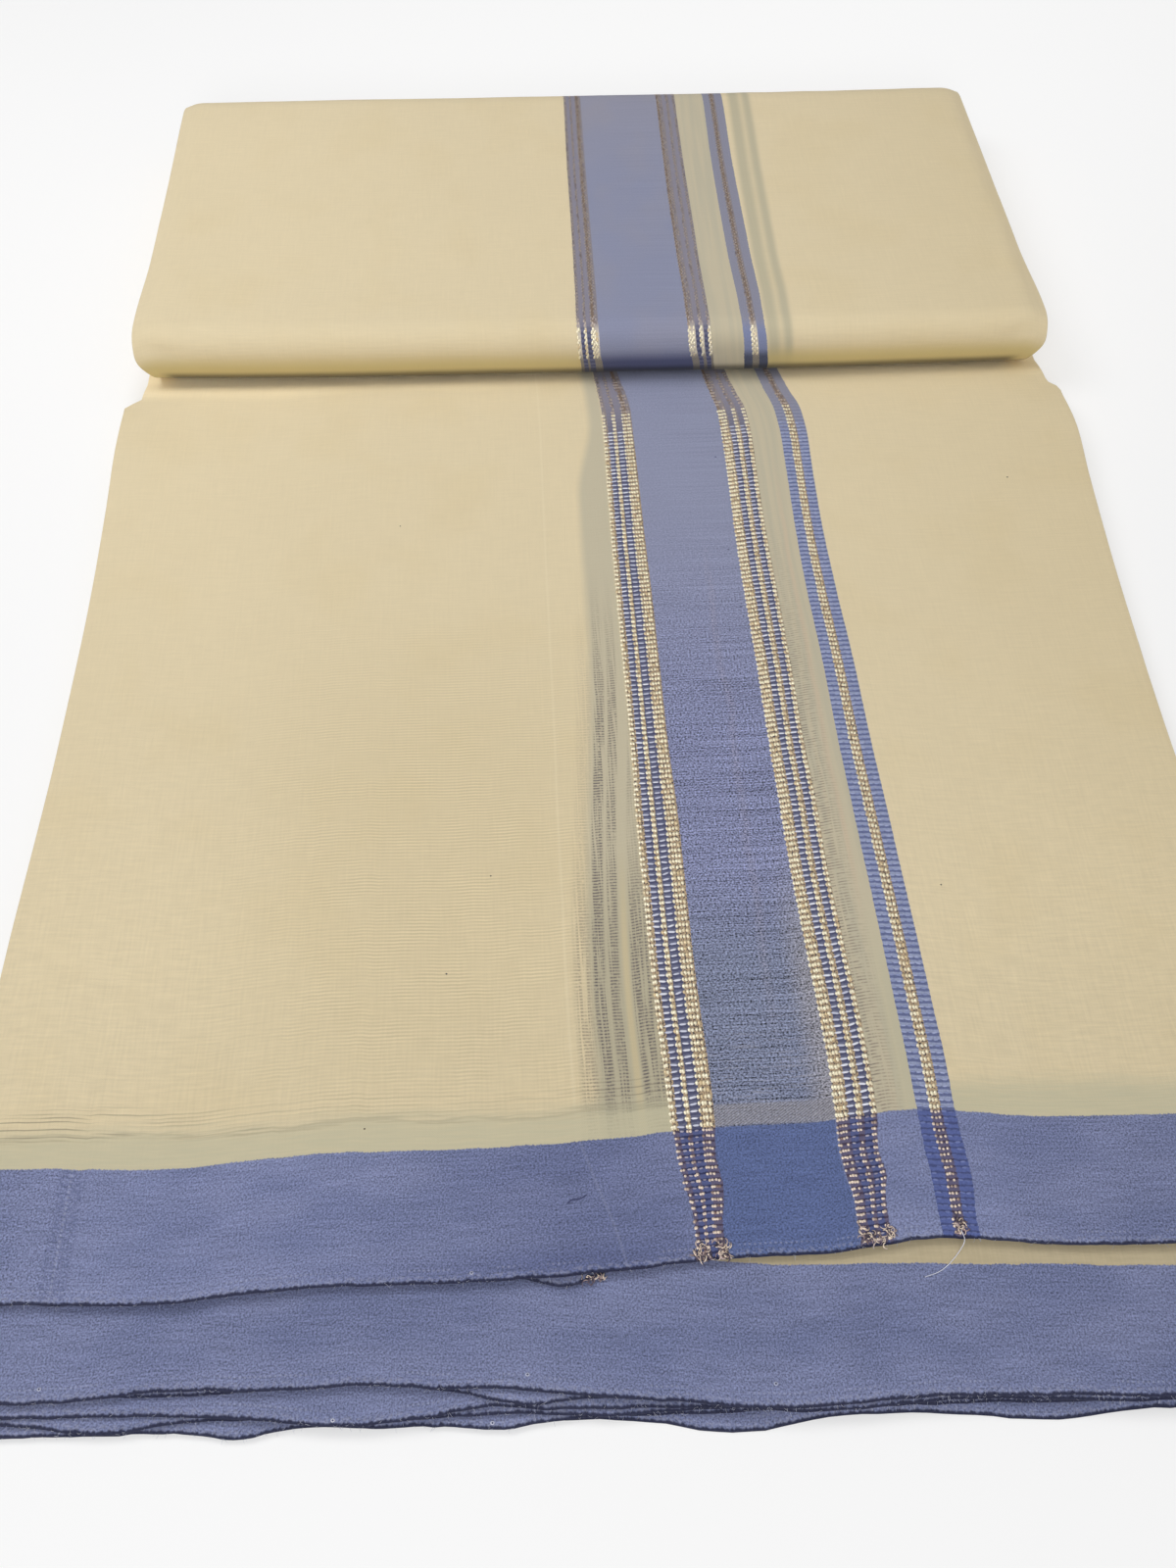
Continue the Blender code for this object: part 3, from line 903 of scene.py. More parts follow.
# painted shadow along a leaf's edge
EDGE_SHADOW_NAVY = swatch(28, 30, 56)
GAP_DASH = swatch(100, 86, 88)
RIB_LINE = swatch(232, 218, 186)
STREAK_WARM = swatch(206, 190, 152)
ROW_GREY = swatch(126, 120, 104)
ROLL_BELOW = swatch(174, 169, 146)
BLUE_FAR = swatch(152, 150, 164)
BLUE_PINK = swatch(172, 160, 168)
SLUB_PALE = swatch(170, 170, 184)
BLUE_RUBBED = swatch(164, 158, 158)
TWILL_DARK = swatch(118, 117, 128)
TWILL_PALE = swatch(160, 158, 165)
GAP_WARM = swatch(202, 190, 163)
GAP_PINK = swatch(206, 184, 158)
BORDER_DULL = swatch(95, 103, 141)
STITCH_PALE = swatch(180, 183, 204)
LIP_PALE = swatch(166, 168, 188)
MARK_BLUE = swatch(80, 88, 124)
THIN_PALE = swatch(190, 193, 210)
SLANT_PALE = swatch(160, 165, 190)

NO_MARK = (0.0, 0.0, 0.0)
RED_MARK = (1.0, 0.0, 0.0)
GREEN_MARK = (0.0, 1.0, 0.0)
BLUE_MARK = (0.0, 0.0, 1.0)


class Dress(Enum):
    """Which part of the cloth a material is for."""

    TOP = "the top leaf, with border and stripes"
    ROLL = "the roll, with stripes"
    SELVEDGE = "a leaf seen at its border"
    PLAIN = "hidden leaves, seen at their folds"


@dataclass(frozen=True)
class DhotiCotton:
    """Fine cotton with its woven border and cross stripes, drawn from the cloth's own coordinates.

    Each step of the painting takes the bench and the colour so far, and returns the colour with its
    own marks on it. Lengths and places are in millimetres, u across the cloth and v along it from the
    selvedge, and the short numbers beside them are strengths and thresholds.
    """

    dress: Dress
    roughness: float = 0.86
    sheen: float = 0.12
    specular: float = 0.25
    thread_pitch: float = 0.62       # mm
    relief: float = 0.00012          # metres

    def build(self) -> bpy.types.Material:
        """Put the finish together: ground, what shows through, stripes, painted light and shade, and
        border.

        Returns:
            The material.
        """
        b = ClothSurface("cotton_" + self.dress.name.lower())
        u, v = b.u, b.v
        threads = b.grain(0.05, 1.05, 3, 2)
        ends = b.grain(1.05, 0.045, 7, 2)
        colour = self._ground(b, threads, ends)
        if self.dress is Dress.TOP:
            colour = self._stripes(b, self._show_through(b, self._ribs(b, colour)))
        elif self.dress is Dress.ROLL:
            # Painted shade: the cream low on the roll's near turn is mixed towards a warm dark, for the
            # crease below it.
            colour = b.mix(v.ease(608, 596.5) * 0.9, self._roll_shadows(b, colour), NOSE_CREASE_SHADE)
            colour = self._stripes(b, colour)
        elif self.dress is Dress.SELVEDGE:
            # Painted shade: the cream just above a lower leaf's border is darker, where the leaf above
            # shades it.
            colour = b.shade(colour, 1 - v.ease(66, 47) * 0.30)
        # Painted light and shade. On the roll: its top painted a little brighter, more towards its left,
        # and its tuck under the near turn painted much darker. On the leaves: the far left painted a little
        # brighter, the cloth just before the roll painted much lighter against the shadow that the roll
        # casts there, and the cloth near the selvedge painted a little darker.
        if self.dress is Dress.ROLL:
            lift = v.ease(612, 630) * (u.ease(-60, -200) * 0.025 + 0.025)
            tuck = v.ease(596, 590.5) * u.belt(-236, 236, 5)
            lift = 1 + lift - tuck * 0.65
        else:
            lift = u.ease(-90, -225) * v.ease(230, 400) * 0.035
            lift = 1 + (lift + v.ease(451, 464) * 0.33 - v.ease(130, 70) * 0.040)
        colour = b.shade(colour, lift)
        if self.dress in (Dress.TOP, Dress.SELVEDGE):
            colour = self._border(b, colour)
        weave = u.wave(self.thread_pitch) * v.wave(self.thread_pitch)
        height = threads * 0.5 + ends * 0.3 + weave * 0.12
        return b.finish(colour, self.roughness, height, self.relief, Sheen_Weight=self.sheen,
                        Specular_IOR_Level=self.specular)

    @staticmethod
    def _ground(b: ClothSurface, threads: Wire, ends: Wire) -> Wire:
        """The cream ground: uneven threads both ways, coarser near the border, warmer on the right."""
        cloud = b.grain(0.022, 0.022, 1, 2)
        grain = b.grain(1.3, 1.7, 5)
        coarse = b.v.ease(330, 60) * 0.8 + 0.25
        weft, warp = b.grain(0.09, 0.95, 4), b.grain(0.95, 0.07, 8)
        tone = 0.93 + threads * 0.055 + ends * 0.04 + cloud * 0.02 + grain * 0.025
        tone = tone + ((weft - 0.5) * 0.14 + (warp - 0.5) * 0.10) * coarse
        warm = cloud.ease(0.45, 0.8) * 0.3 + b.u.ease(105, 260) * 0.35
        return b.shade(b.mix(warm, CREAM, CREAM_WARM), tone)

    @staticmethod
    def _ribs(b: ClothSurface, colour: Wire) -> Wire:
        """Fine ribs along X, plainest left of the stripes, with a warmer shade there."""
        u, v = b.u, b.v
        place = u.belt(-150, -8, 55) * v.belt(60, 265, 70)
        sway = b.grain(0.02, 0.03, 11, 2) * 1.2
        patchy = b.grain(0.05, 0.08, 13, 2).ease(0.3, 0.7)
        rib = (v + sway).wave(1.5) * (0.4 + patchy) * place
        colour = b.mix(place * 0.6, colour, b.shade(colour, 0.955 + b.grain(0.5, 0.9, 15, 2) * 0.01))
        colour = b.mix(place * 0.35, colour, CREAM_WARM)
        colour = b.shade(colour, 1 + rib * 0.09 - place * 0.03)
        line = u.belt(-31.6, -30.6, 0.35) * v.ease(30, 60)
        return b.mix(line * 0.3, colour, RIB_LINE)

    @staticmethod
    def _show_through(b: ClothSurface, colour: Wire) -> Wire:
        """Leaves below seen through the top one: columns left of the stripes, rows above the border."""
        u, v = b.u, b.v
        drift = v.ease(95, 300) * 9.5 + v.ease(370, 425) * 8 - 15
        place = u - drift
        near = v.ease(330, 230)
        lowest = v.ease(175, 120)
        tint = place.ease(-10, -4.5) * u.ease(4, 1)
        colour = b.mix(tint * (0.85 - near * 0.05), colour, b.mix(lowest, GREY_GREEN, SHADE_GREEN))
        streak = place.belt(6.2, 8.6, 0.8) * lowest
        colour = b.mix(streak * 0.7, colour, STREAK_WARM)
        dash = (v + b.grain(0.2, 0.1, 17, 2) * 0.8).wave(1.36).ease(-0.3, 0.6)
        thread = b.grain(1.1, 0.03, 19).ease(0.25, 0.6)
        thread = thread * b.grain(0.8, 0.8, 20).ease(0.15, 0.5)
        both = place.belt(-5.4, -0.8, 0.6) + place.belt(0.8, 4.9, 0.6) * 0.9
        outer = place.ease(9, 10) * u.ease(4, 1) + place.belt(-13, -6.4, 2) * 0.6
        beside = (lowest * 0.55 + 0.45) * outer
        ink = (both + beside) * (dash * 0.8 + 0.2) * thread * near
        colour = b.mix(ink * 0.90, colour, THREAD_SHADE)
        drift = (b.grain(0.02, 0, 21, 2) - 0.5) * 6
        strip = v + drift + (b.grain(0.05, 0.9, 22) - 0.5) * 5
        uneven = b.grain(0.06, 0.9, 25, 2) * 0.5 + 0.60
        colour = b.mix(strip.ease(65, 53) * uneven, colour, CREAM_PALE)
        rows = (v + b.grain(0.02, 0, 24, 2)).wave(1.45).ease(0, 0.8)
        rows = rows * (v + drift).belt(57, 68, 3)
        places = 0.30 + u.ease(-150, -226) * 0.6 + u.belt(-26, 2, 4) * 0.5
        broken = b.grain(0.022, 0.7, 23, 2).ease(0.40, 0.62)
        left = u.ease(8, 2)
        line = strip.belt(57, 58.6, 0.7) * 0.35
        return b.mix((rows * broken * places + line) * left * 0.62, colour, ROW_GREY)

    @staticmethod
    def _roll_shadows(b: ClothSurface, colour: Wire) -> Wire:
        """Two grey-green stripes of the layer below, right of the roll's narrow stripe."""
        place = b.u + b.v.ease(880, 600) * 2.6
        stripes = place.belt(113.4, 117.6, 1.4) + place.belt(119.9, 122.9, 1.2)
        return b.mix(stripes * 0.42 + place.belt(113, 123.4, 1.6) * 0.28, colour, ROLL_BELOW)

    @staticmethod
    def _columns(b: ClothSurface, ragged: Wire, marks: dict[Kind, Swatch]) -> tuple[Wire, Wire, Wire]:
        """Three masks of the stripes' columns: the red, green and blue of each kind's mark.

        Args:
            b: the bench.
            ragged: how far the columns' sides stray, in millimetres.
            marks: a colour for each kind that is wanted.

        Returns:
            The masks.
        """
        low, high = OUTER_SIDES
        stops = [((column.start - low) / (high - low), marks.get(column.kind, NO_MARK))
                 for column in COLUMNS]
        place = (b.u + ragged).spread(low, high)
        painted = b.wire("ShaderNodeValToRGB", {"stops": stops}, {0: place})
        return b.parts("ShaderNodeSeparateColor", painted)

    def _stripes(self, b: ClothSurface, ground: Wire) -> Wire:
        """Zari, ladders, wide band, ribs and gap on the cream."""
        u, v = b.u, b.v
        edge = b.grain(0.5, 1.6, 31)
        marks = {Kind.ZARI: RED_MARK, Kind.LADDER: GREEN_MARK, Kind.WIDE: BLUE_MARK,
                 Kind.RIB: (0, 0.5, 0), Kind.GAP: (0, 0, 0.5)}
        zari, rungs, bands = self._columns(b, (edge - 0.5) * 0.5, marks)
        ladder = rungs.ease(0.7, 0.8)
        rib = rungs.ease(0.1, 0.2) * (1 - ladder)
        wide = bands.ease(0.7, 0.8)
        gap = bands.ease(0.1, 0.2) * (1 - wide)
        rung = (v + (edge - 0.5) * 0.7).wave(FIELD_PITCH).ease(-0.5, 0.5)
        fleck = b.grain(1.4, 1.1, 33)
        colour = b.mix(wide, ground, self._wide_band(b))
        colour = b.mix(gap, colour, self._gap(b))
        broad = u.belt(15, 17.4, 0.6) + u.belt(64.3, 66.4, 0.6) + u.belt(101.6, 103.4, 0.6)
        plain = 0.9 + fleck * 0.2
        worn = b.shade(b.mix(broad, ZARI_PRESSED, ZARI_TARNISHED), plain)
        steps = b.shade(b.mix(rung * 0.3, LADDER_DARK, BLUE), 0.7 + fleck * 0.6)
        if self.dress is Dress.TOP:
            pressed = v.ease(392, 442)
            gold = b.mix(fleck.ease(0.34, 0.52), ZARI_GROUND, ZARI_WORN)
            ribs = b.shade(b.mix(rung, RIB_BLUE, RIB_LIGHT), 0.76 + fleck * 0.5)
        else:
            pressed = v.ease(612, 622)
            # Painted shade: on the roll the zari, ladders and ribs darken low on the near turn.
            plain = plain - v.ease(605, 598.5) * 0.64
            # Painted highlight: the zari's ground on the near turn is a lighter gold.
            gold, ribs = b.shade(NOSE_GOLD_HIGHLIGHT, plain), b.shade(RIB_NOSE, plain)
        colour = b.mix(zari, colour, b.mix(pressed, gold, worn))
        colour = b.mix(ladder, colour, b.mix(pressed, steps, b.shade(LADDER_PRESSED, plain)))
        return b.mix(rib, colour, b.mix(pressed, ribs, b.shade(RIB_PRESSED, plain)))

    def _wide_band(self, b: ClothSurface) -> Wire:
        """The wide blue band: even far from the border, then thread lines, slubs and twill."""
        u, v = b.u, b.v
        lines = b.grain(0.018, 2, 37)
        grain = b.grain(1.2, 1.5, 39)
        cloud = b.grain(0.03, 0.02, 43, 2)
        if self.dress is Dress.ROLL:
            tone = 0.955 + (lines - 0.5) * 0.16 + (grain - 0.5) * 0.14
            far = v.ease(720, 850) * 0.6 + cloud.ease(0.4, 0.7) * 0.35
            colour = b.mix(far, BLUE, BLUE_FAR)
            # Painted shade: the band darkens to navy low on the roll's near turn.
            return b.shade(b.mix(v.ease(606, 597) * 0.9, colour, NOSE_SHADE_NAVY), tone)
        near = v.ease(380, 215)
        lowest = v.ease(160, 105)
        rows = (v + b.grain(0.06, 0.02, 45, 2) * 1.5).wave(1.36)
        slub = b.grain(0.006, 0.95, 41).ease(0.54, 0.61)
        bright = b.grain(0.006, 0.80, 49).ease(0.58, 0.70)
        colour = b.mix(near, BLUE, BLUE_NEAR)
        colour = b.mix(lowest, colour, BLUE_LOW)
        tone = 0.99 + (lines - 0.5) * (0.30 + near * 0.7) + (grain - 0.5) * (0.40 + near * 2.5)
        tone = tone + rows * near * 0.11 + (cloud - 0.5) * 0.05
        colour = b.shade(colour, tone + (bright * 0.09 - slub * 0.23) * near)
        sway = b.grain(0, 0.02, 47, 2) * 8
        pink = (u + sway).belt(50.5, 53.5, 1.5) * v.ease(350, 300) * v.ease(60, 120)
        colour = b.mix(pink * grain.ease(0.45, 0.7) * 0.4, colour, BLUE_PINK)
        pale_slub = b.grain(0.05, 1.3, 48).ease(0.62, 0.70) * v.ease(110, 60)
        colour = b.mix(pale_slub * 0.45, colour, SLUB_PALE)
        fade = u.ease(52, 63.5) * v.ease(175, 95)
        colour = b.mix(fade * 0.55, colour, b.shade(BLUE_RUBBED, tone))
        strip = v.belt(47, 55, 0.6)
        stripe = (u * 0.66 - v + (grain - 0.5) * 0.8).wave(1).ease(-0.6, 0.6)
        pale = b.mix(stripe, TWILL_DARK, TWILL_PALE)
        return b.mix(strip * 0.8, colour, b.shade(pale, 0.6 + grain * 0.8))

    def _gap(self, b: ClothSurface) -> Wire:
        """The grey-green gap: soft streaks, and short dark dashes in its left half."""
        u, v = b.u, b.v
        streak = b.grain(0.35, 0.01, 53)
        colour = b.mix(streak.ease(0.3, 0.7) * 0.6, GREY_GREEN, GAP_WARM)
        if self.dress is Dress.TOP:
            colour = b.mix(v.ease(150, 80) * u.ease(88, 92) * 0.5, colour, CREAM_PALE)
            pink = (u + b.grain(0, 0.02, 55, 2) * 3).belt(90.5, 92.5, 0.9) * v.ease(110, 170)
            colour = b.mix(pink * v.ease(400, 330) * 0.45, colour, GAP_PINK)
            dash = (v + b.grain(0.05, 0.05, 59, 2) * 0.8).wave(1.33).ease(-0.2, 0.7)
            left = u.ease(94, 82) * v.ease(390, 210)
            thread = b.grain(0.9, 0.05, 61).ease(0.22, 0.55)
            thread = thread * b.grain(0.25, 0.8, 62).ease(0.25, 0.55)
            colour = b.mix(dash * left * thread * 0.62, colour, GAP_DASH)
        return colour

    def _border(self, b: ClothSurface, field_colour: Wire) -> Wire:
        """Selvedge border: blue twill, deeper on the wide band, zari across it, painted shadow at its edge.
        """
        u, v = b.u, b.v
        cloud = b.grain(0.02, 0.05, 67, 2)
        flecks = b.grain(1.5, 1.6, 71)
        threads = b.grain(0.06, 1.4, 73, 2)
        twill = (u * 0.8 - v).wave(1.6) * b.grain(0.08, 0.1, 79, 2).ease(0.3, 0.7)
        tone = 0.965 + (flecks - 0.5) * 1.50 + (threads - 0.5) * 0.55 + twill * 0.08
        blue = b.mix(cloud.ease(0.3, 0.75), BORDER_BLUE, BORDER_WORN)
        if self.dress is Dress.TOP:
            coarse = u.ease(-207, -219)
            tone = tone + (b.grain(1.3, 1.3, 83) - 0.5) * coarse * 0.9
            worn = u.belt(-110, 2, 40) * v.ease(14, 4)
            worn = u.belt(-60, 2, 30) * 0.50 + worn * 0.50
            blue = b.mix(worn, blue, BORDER_DULL)
            blue = b.mix(u.belt(19.5, 64, 0.3), blue, BORDER_DEEP)
            tone = tone + u.belt(-205, -105, 25) * 0.065 + u.belt(67, 125, 8) * 0.065
            tone = tone - u.ease(130, 175) * 0.05
        else:
            tone = tone * 0.96
        blue = b.shade(blue, tone)
        stitch = v.belt(4.2, 4.8, 0.25) * u.wave(1.7).ease(-0.1, 0.5)
        stitch = stitch * b.grain(0.05, 0, 89, 2).ease(0.42, 0.60)
        blue = b.mix(stitch * 0.30, blue, STITCH_PALE)
        lip = v.ease(3.4, 2.2) * b.grain(0.7, 0.8, 91).ease(0.46, 0.62)
        blue = b.mix(lip * 0.28, blue, LIP_PALE)
        if self.dress is Dress.TOP:
            blue = self._crossing(b, blue)
        # Painted shadow: a dark navy line at the very edge stands for the shade in the gap below it.
        rim = (v + b.grain(0.9, 0, 92) * 1.2).ease(2.1, 1.2)
        blue = b.mix(rim * 0.92, blue, EDGE_SHADOW_NAVY)
        ragged = (b.grain(1.2, 0.4, 97) - 0.5) * 0.8
        end = v + ragged
        if self.dress is Dress.SELVEDGE:
            end = end + u.ease(10, 110) * 4.5
        return b.mix(end.ease(BORDER + 0.25, BORDER - 0.25), field_colour, blue)

    def _crossing(self, b: ClothSurface, blue: Wire) -> Wire:
        """Where the stripes cross the border: navy and maroon rungs between the zari."""
        u, v = b.u, b.v
        edge = b.grain(0.6, 1.2, 101)
        marks = {Kind.ZARI: RED_MARK, Kind.LADDER: GREEN_MARK, Kind.RIB: BLUE_MARK}
        zari, ladder, rib = self._columns(b, (edge - 0.5) * 0.9, marks)
        line = (v + edge * 0.8).wave(BORDER_PITCH).ease(0.1, 0.8)
        fleck = 0.75 + b.grain(1.2, 1.2, 107) * 0.5
        blue = b.mix(zari, blue, b.shade(b.mix(line, ZARI_MAUVE, MAROON), fleck))
        blue = b.mix(ladder, blue, b.shade(b.mix(line, CROSSING_BLUE, NAVY), fleck))
        blue = b.mix(rib, blue, b.shade(b.mix(line * 0.55, RIB_CROSSING, NAVY), fleck))
        ladder_line = u.belt(-217.5, -207.5, 1.2)
        mark = b.grain(0.5, 0.9, 103).ease(0.4, 0.62)
        blue = b.mix(ladder_line * mark * 0.4, blue, MARK_BLUE)
        thin = u.belt(-213.2, -212.4, 0.3) * v.wave(1.9).ease(-0.3, 0.5)
        blue = b.mix(thin * 0.25, blue, THIN_PALE)
        slant = (u + v * 0.24).belt(-19.4, -18.5, 0.35)
        return b.mix(slant * 0.15, blue, SLANT_PALE)


@dataclass(frozen=True)
class Yarn:
    """A plain cotton yarn between two colours, a little different from one float to the next."""

    name: str
    light: Swatch
    dark: Swatch
    roughness: float = 0.8
    metallic: float = 0.0
    sheen: float = 0.15
    grain: tuple[float, float, float] = (2.3, 2.9, 6.0)
    turn: tuple[float, float] = (0.3, 0.7)

    def build(self) -> bpy.types.Material:
        """Put the finish together."""
        b = ClothSurface(self.name)
        colour = b.mix(b.grain(*self.grain, detail=0.0).ease(*self.turn), self.light, self.dark)
        return b.finish(colour, self.roughness, Metallic=self.metallic, Sheen_Weight=self.sheen)


@dataclass(frozen=True)
class Zari(Yarn):
    """Flat metal thread over a cotton core, with duller floats among the bright ones."""

    roughness: float = 0.30
    metallic: float = 0.60
    sheen: float = 0.0
    grain: tuple[float, float, float] = (3.1, 3.7, 2.0)
    turn: tuple[float, float] = (0.52, 0.82)


class Finish(Enum):
    """Finish of the floats, the threads and the small marks."""

    ZARI = Zari("zari_gold", swatch(255, 246, 218), swatch(224, 202, 162))
    WORN = Zari("zari_worn", swatch(196, 182, 174), swatch(150, 136, 134), 0.45, 0.8)
    PINK = Zari("zari_pink", swatch(240, 222, 204), swatch(146, 122, 116), 0.35, 0.5)
    PALE = Yarn("periwinkle_yarn", swatch(230, 231, 243), swatch(196, 199, 220))
    MAUVE = Yarn("mauve_yarn", swatch(176, 170, 186), swatch(124, 120, 148))
    RIB = Yarn("lavender_yarn", swatch(166, 174, 208), swatch(138, 148, 188))
    DEEP = Yarn("deep_blue_yarn", swatch(112, 124, 176), swatch(84, 96, 150))
    DARK = Yarn("thread_end_dark", swatch(104, 90, 106), swatch(56, 48, 66))
    LIGHT = Yarn("thread_end_light", swatch(208, 190, 182), swatch(158, 134, 136))
    LINT = Yarn("selvedge_lint", swatch(206, 208, 222), swatch(170, 174, 196))
    SPECK = Yarn("stray_speck", swatch(96, 84, 70), swatch(60, 56, 66))
    NAVY = Yarn("navy_yarn", swatch(66, 70, 112), swatch(40, 44, 78))


# ---- cloth pieces


TOP_CREASES = (
    Crease((-0.2510, -0.1900), (-0.1740, -0.2230), 0.0022, -0.00050),
    Crease((-0.2520, -0.1265), (-0.2040, -0.1270), 0.0018, -0.00045),
    Crease((-0.2130, -0.2500), (-0.2140, -0.3290), 0.0014, 0.00018),
    Crease((-0.2540, 0.1180), (-0.2230, 0.1400), 0.0060, -0.00050),
    Crease((0.2530, 0.1160), (0.2260, 0.1380), 0.0055, -0.00050),
    Crease((-0.2050, 0.1290), (-0.1200, 0.1330), 0.0060, 0.00080),
    Crease((0.0100, 0.1300), (0.0900, 0.1320), 0.0060, -0.00070),
    Crease((-0.0900, -0.1500), (-0.0500, -0.2500), 0.0180, -0.00070),
    Crease((-0.1600, -0.3240), (-0.1350, -0.2820), 0.0090, -0.00060),
    Crease((0.0280, -0.3220), (0.0300, -0.2700), 0.0080, -0.00050),
    Crease((0.1500, -0.3180), (0.1350, -0.2700), 0.0120, -0.00070),
    Crease((0.2400, 0.0900), (0.2350, -0.1600), 0.0012, 0.00022),
    Crease((-0.2435, 0.0700), (-0.2440, -0.1700), 0.0012, 0.00016),
    Crease((0.1700, 0.0200), (0.2100, -0.2000), 0.0250, 0.00060),
    Crease((-0.1900, 0.0700), (-0.1500, -0.1000), 0.0300, 0.00070),
)
ROLL_CREASES = (                 # x and metres of cloth up from the front of the near turn
    Crease((-0.2450, 0.0120), (-0.2150, 0.0040), 0.0050, -0.00110),
    Crease((0.2450, 0.0140), (0.2180, 0.0050), 0.0050, -0.00100),
    Crease((-0.1400, 0.0400), (-0.1250, 0.1900), 0.0220, -0.00060),
    Crease((0.1300, 0.0500), (0.1550, 0.2100), 0.0260, -0.00060),
    Crease((0.2200, 0.0300), (0.2440, 0.1500), 0.0060, -0.00050),
    Crease((-0.2150, 0.2100), (-0.2430, 0.1200), 0.0060, -0.00050),
    Crease((-0.0500, 0.2600), (0.0200, 0.3000), 0.0060, -0.00070),
    Crease((0.0900, 0.2800), (0.1700, 0.2650), 0.0050, -0.00060),
)

EDGE_RIPPLES: tuple[Ripple, ...] = ((0.00028, 0.0062, 0), (0.00012, 0.0021, 20))
FLUTTER: Ripple = (0.00012, 0.0090, 40)                          # rise and fall of an edge
FLUTTER_REACH = 0.010
LEAF_HILLS = ((1.0, 0.085, 0.070, 3), (0.25, 0.021, 0.026, 5))   # share, two cells and seed
ROLL_HILLS = ((0.00045, 0.075, 0.055, 7), (0.00010, 0.018, 0.030, 9))
CREASED_BEFORE = (0.150, 0.120)  # y between which the creases and hills of a leaf set in
ROLL_FREE = (0.014, 0.026)       # heights between which those of the roll set in
SIDE_WOBBLE = 0.0005             # how far a leaf's side stands back where it lies free


class Shell:
    """A cloth that is seen, as one fine shell with side folds, which stands for one of the solids."""

    name: str
    node: str
    flat: tuple[float, float]
    rests_on: tuple[str, ...]
    face_down: bool = False

    def surface(self) -> tuple[Array, Array]:
        """Outer face: (rows, columns, 3) points and (rows, columns, 2) cloth coordinates."""
        raise NotImplementedError

    def build(self, material: bpy.types.Material) -> bpy.types.Object:
        """Make the piece, with the ply's thickness growing behind its faces.

        Args:
            material: its cotton.

        Returns:
            The piece.
        """
        points, uv = self.surface()
        faces = grid_faces(*points.shape[:2], flip=not self.face_down)
        piece = new_piece(self.name, points.reshape(-1, 3), [faces], uv.reshape(-1, 2), material)
        wall = piece.modifiers.new("ply", "SOLIDIFY")
        wall.thickness = PLY
        wall.offset = -1.0
        wall.use_even_offset = False
        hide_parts(self.node)
        return piece

    def declare(self, with_pieces: Sequence[str] = ()) -> None:
        """Stand-in for stating the cloth's cut, what it rests on and the loose pieces that it carries: it
        does nothing.
        """


@dataclass
class LeafShell(Shell):
    """A leaf of the bundle, with its edge ripple and creases."""

    leaf: Leaf
    name: str
    far: float
    columns: int
    rows: int
    flat: tuple[float, float]
    creases: tuple[Crease, ...] = ()
    fold: SideFold = SideFold(0.00050, 0.0080)
    face_down: bool = False
    stripes: StripePath | None = None
    unevenness: float = 0.0
    rests_on: tuple[str, ...] = ()

    @property
    def node(self) -> str:
        """The solid that the leaf stands for."""
        return self.leaf.node

    def edge(self, x: Array) -> Array:
        """The near edge with the small ripples that the selvedge has."""
        return BUNDLE.edge_y(self.leaf, x) + ripples(x, EDGE_RIPPLES, self.leaf.level)

    def height(self, x: Array, y: Array) -> Array:
        """Outer face of the leaf: the solid's own face, creases and hills off the roll, and a flutter.

        Args:
            x, y: places on the leaf.

        Returns:
            The height at each place.
        """
        if self.face_down:
            return np.zeros_like(x)
        relief = sum((crease.height(x, y) for crease in self.creases), np.zeros_like(x))
        for share, cell_x, cell_y, seed in LEAF_HILLS:
            relief = relief + share * self.unevenness * hills(x, y, cell_x, cell_y, seed)
        near_edge = ease((self.edge(x) + FLUTTER_REACH - y) / FLUTTER_REACH)
        return (BUNDLE.underside(self.leaf.level, x, y) + WALL + relief * step(y, *CREASED_BEFORE)
                + near_edge * ripples(x, [FLUTTER], self.leaf.level))

    def surface(self) -> tuple[Array, Array]:
        """Work out the leaf's outer face.

        Rows run from the far end to the near edge, closer together at the edge. Columns run across,
        round the two side folds and back below.

        Returns:
            (rows, columns, 3) points and (rows, columns, 2) cloth coordinates.
        """
        share, dx, dz, past = self.fold.stations(self.columns)
        t = np.linspace(0.0, 1.0, self.rows + 1)[:, None]
        t = t + 0.32 * t * (1.0 - t)
        y = np.broadcast_to(self.far + (-self.leaf.edge_left - self.far) * t, (len(t), len(share)))
        for _ in range(5):
            left, right = BUNDLE.sides(y, self.leaf.left_out, self.leaf.right_out)
            free = step(-CORE_NEAR - np.abs(y), 0.0, 0.02) if self.leaf is not TOP else 0.0
            inset = self.fold.radius + SIDE_WOBBLE * free
            inner = left + inset + (right - left - 2 * inset) * share
            y = self.far + (self.edge(inner) - self.far) * t
        z = self.height(inner, y) + (dz if self.face_down else -dz)
        across, along = self.cloth_at(inner, y)
        return np.stack([inner + dx, y, z], axis=-1), np.stack([across + past, along], axis=-1)

    def cloth_at(self, x: Array, y: Array) -> tuple[Array, Array]:
        """Cloth coordinates of places on the leaf."""
        return (self.stripes.to_cloth(x, y) if self.stripes else x), y - self.edge(x)

    def place(self, u: Array, v: Array) -> Array:
        """Points of the outer face with given cloth coordinates, found by closing in on them.

        Args:
            u, v: across and along the cloth.

        Returns:
            The points, X, Y and Z last.
        """
        x = np.array(u, float)
        for _ in range(6):
            y = v + self.edge(x)
            x = self.stripes.to_x(u, y) if self.stripes else x
        return np.stack([x, y, self.height(x, y)], axis=-1)


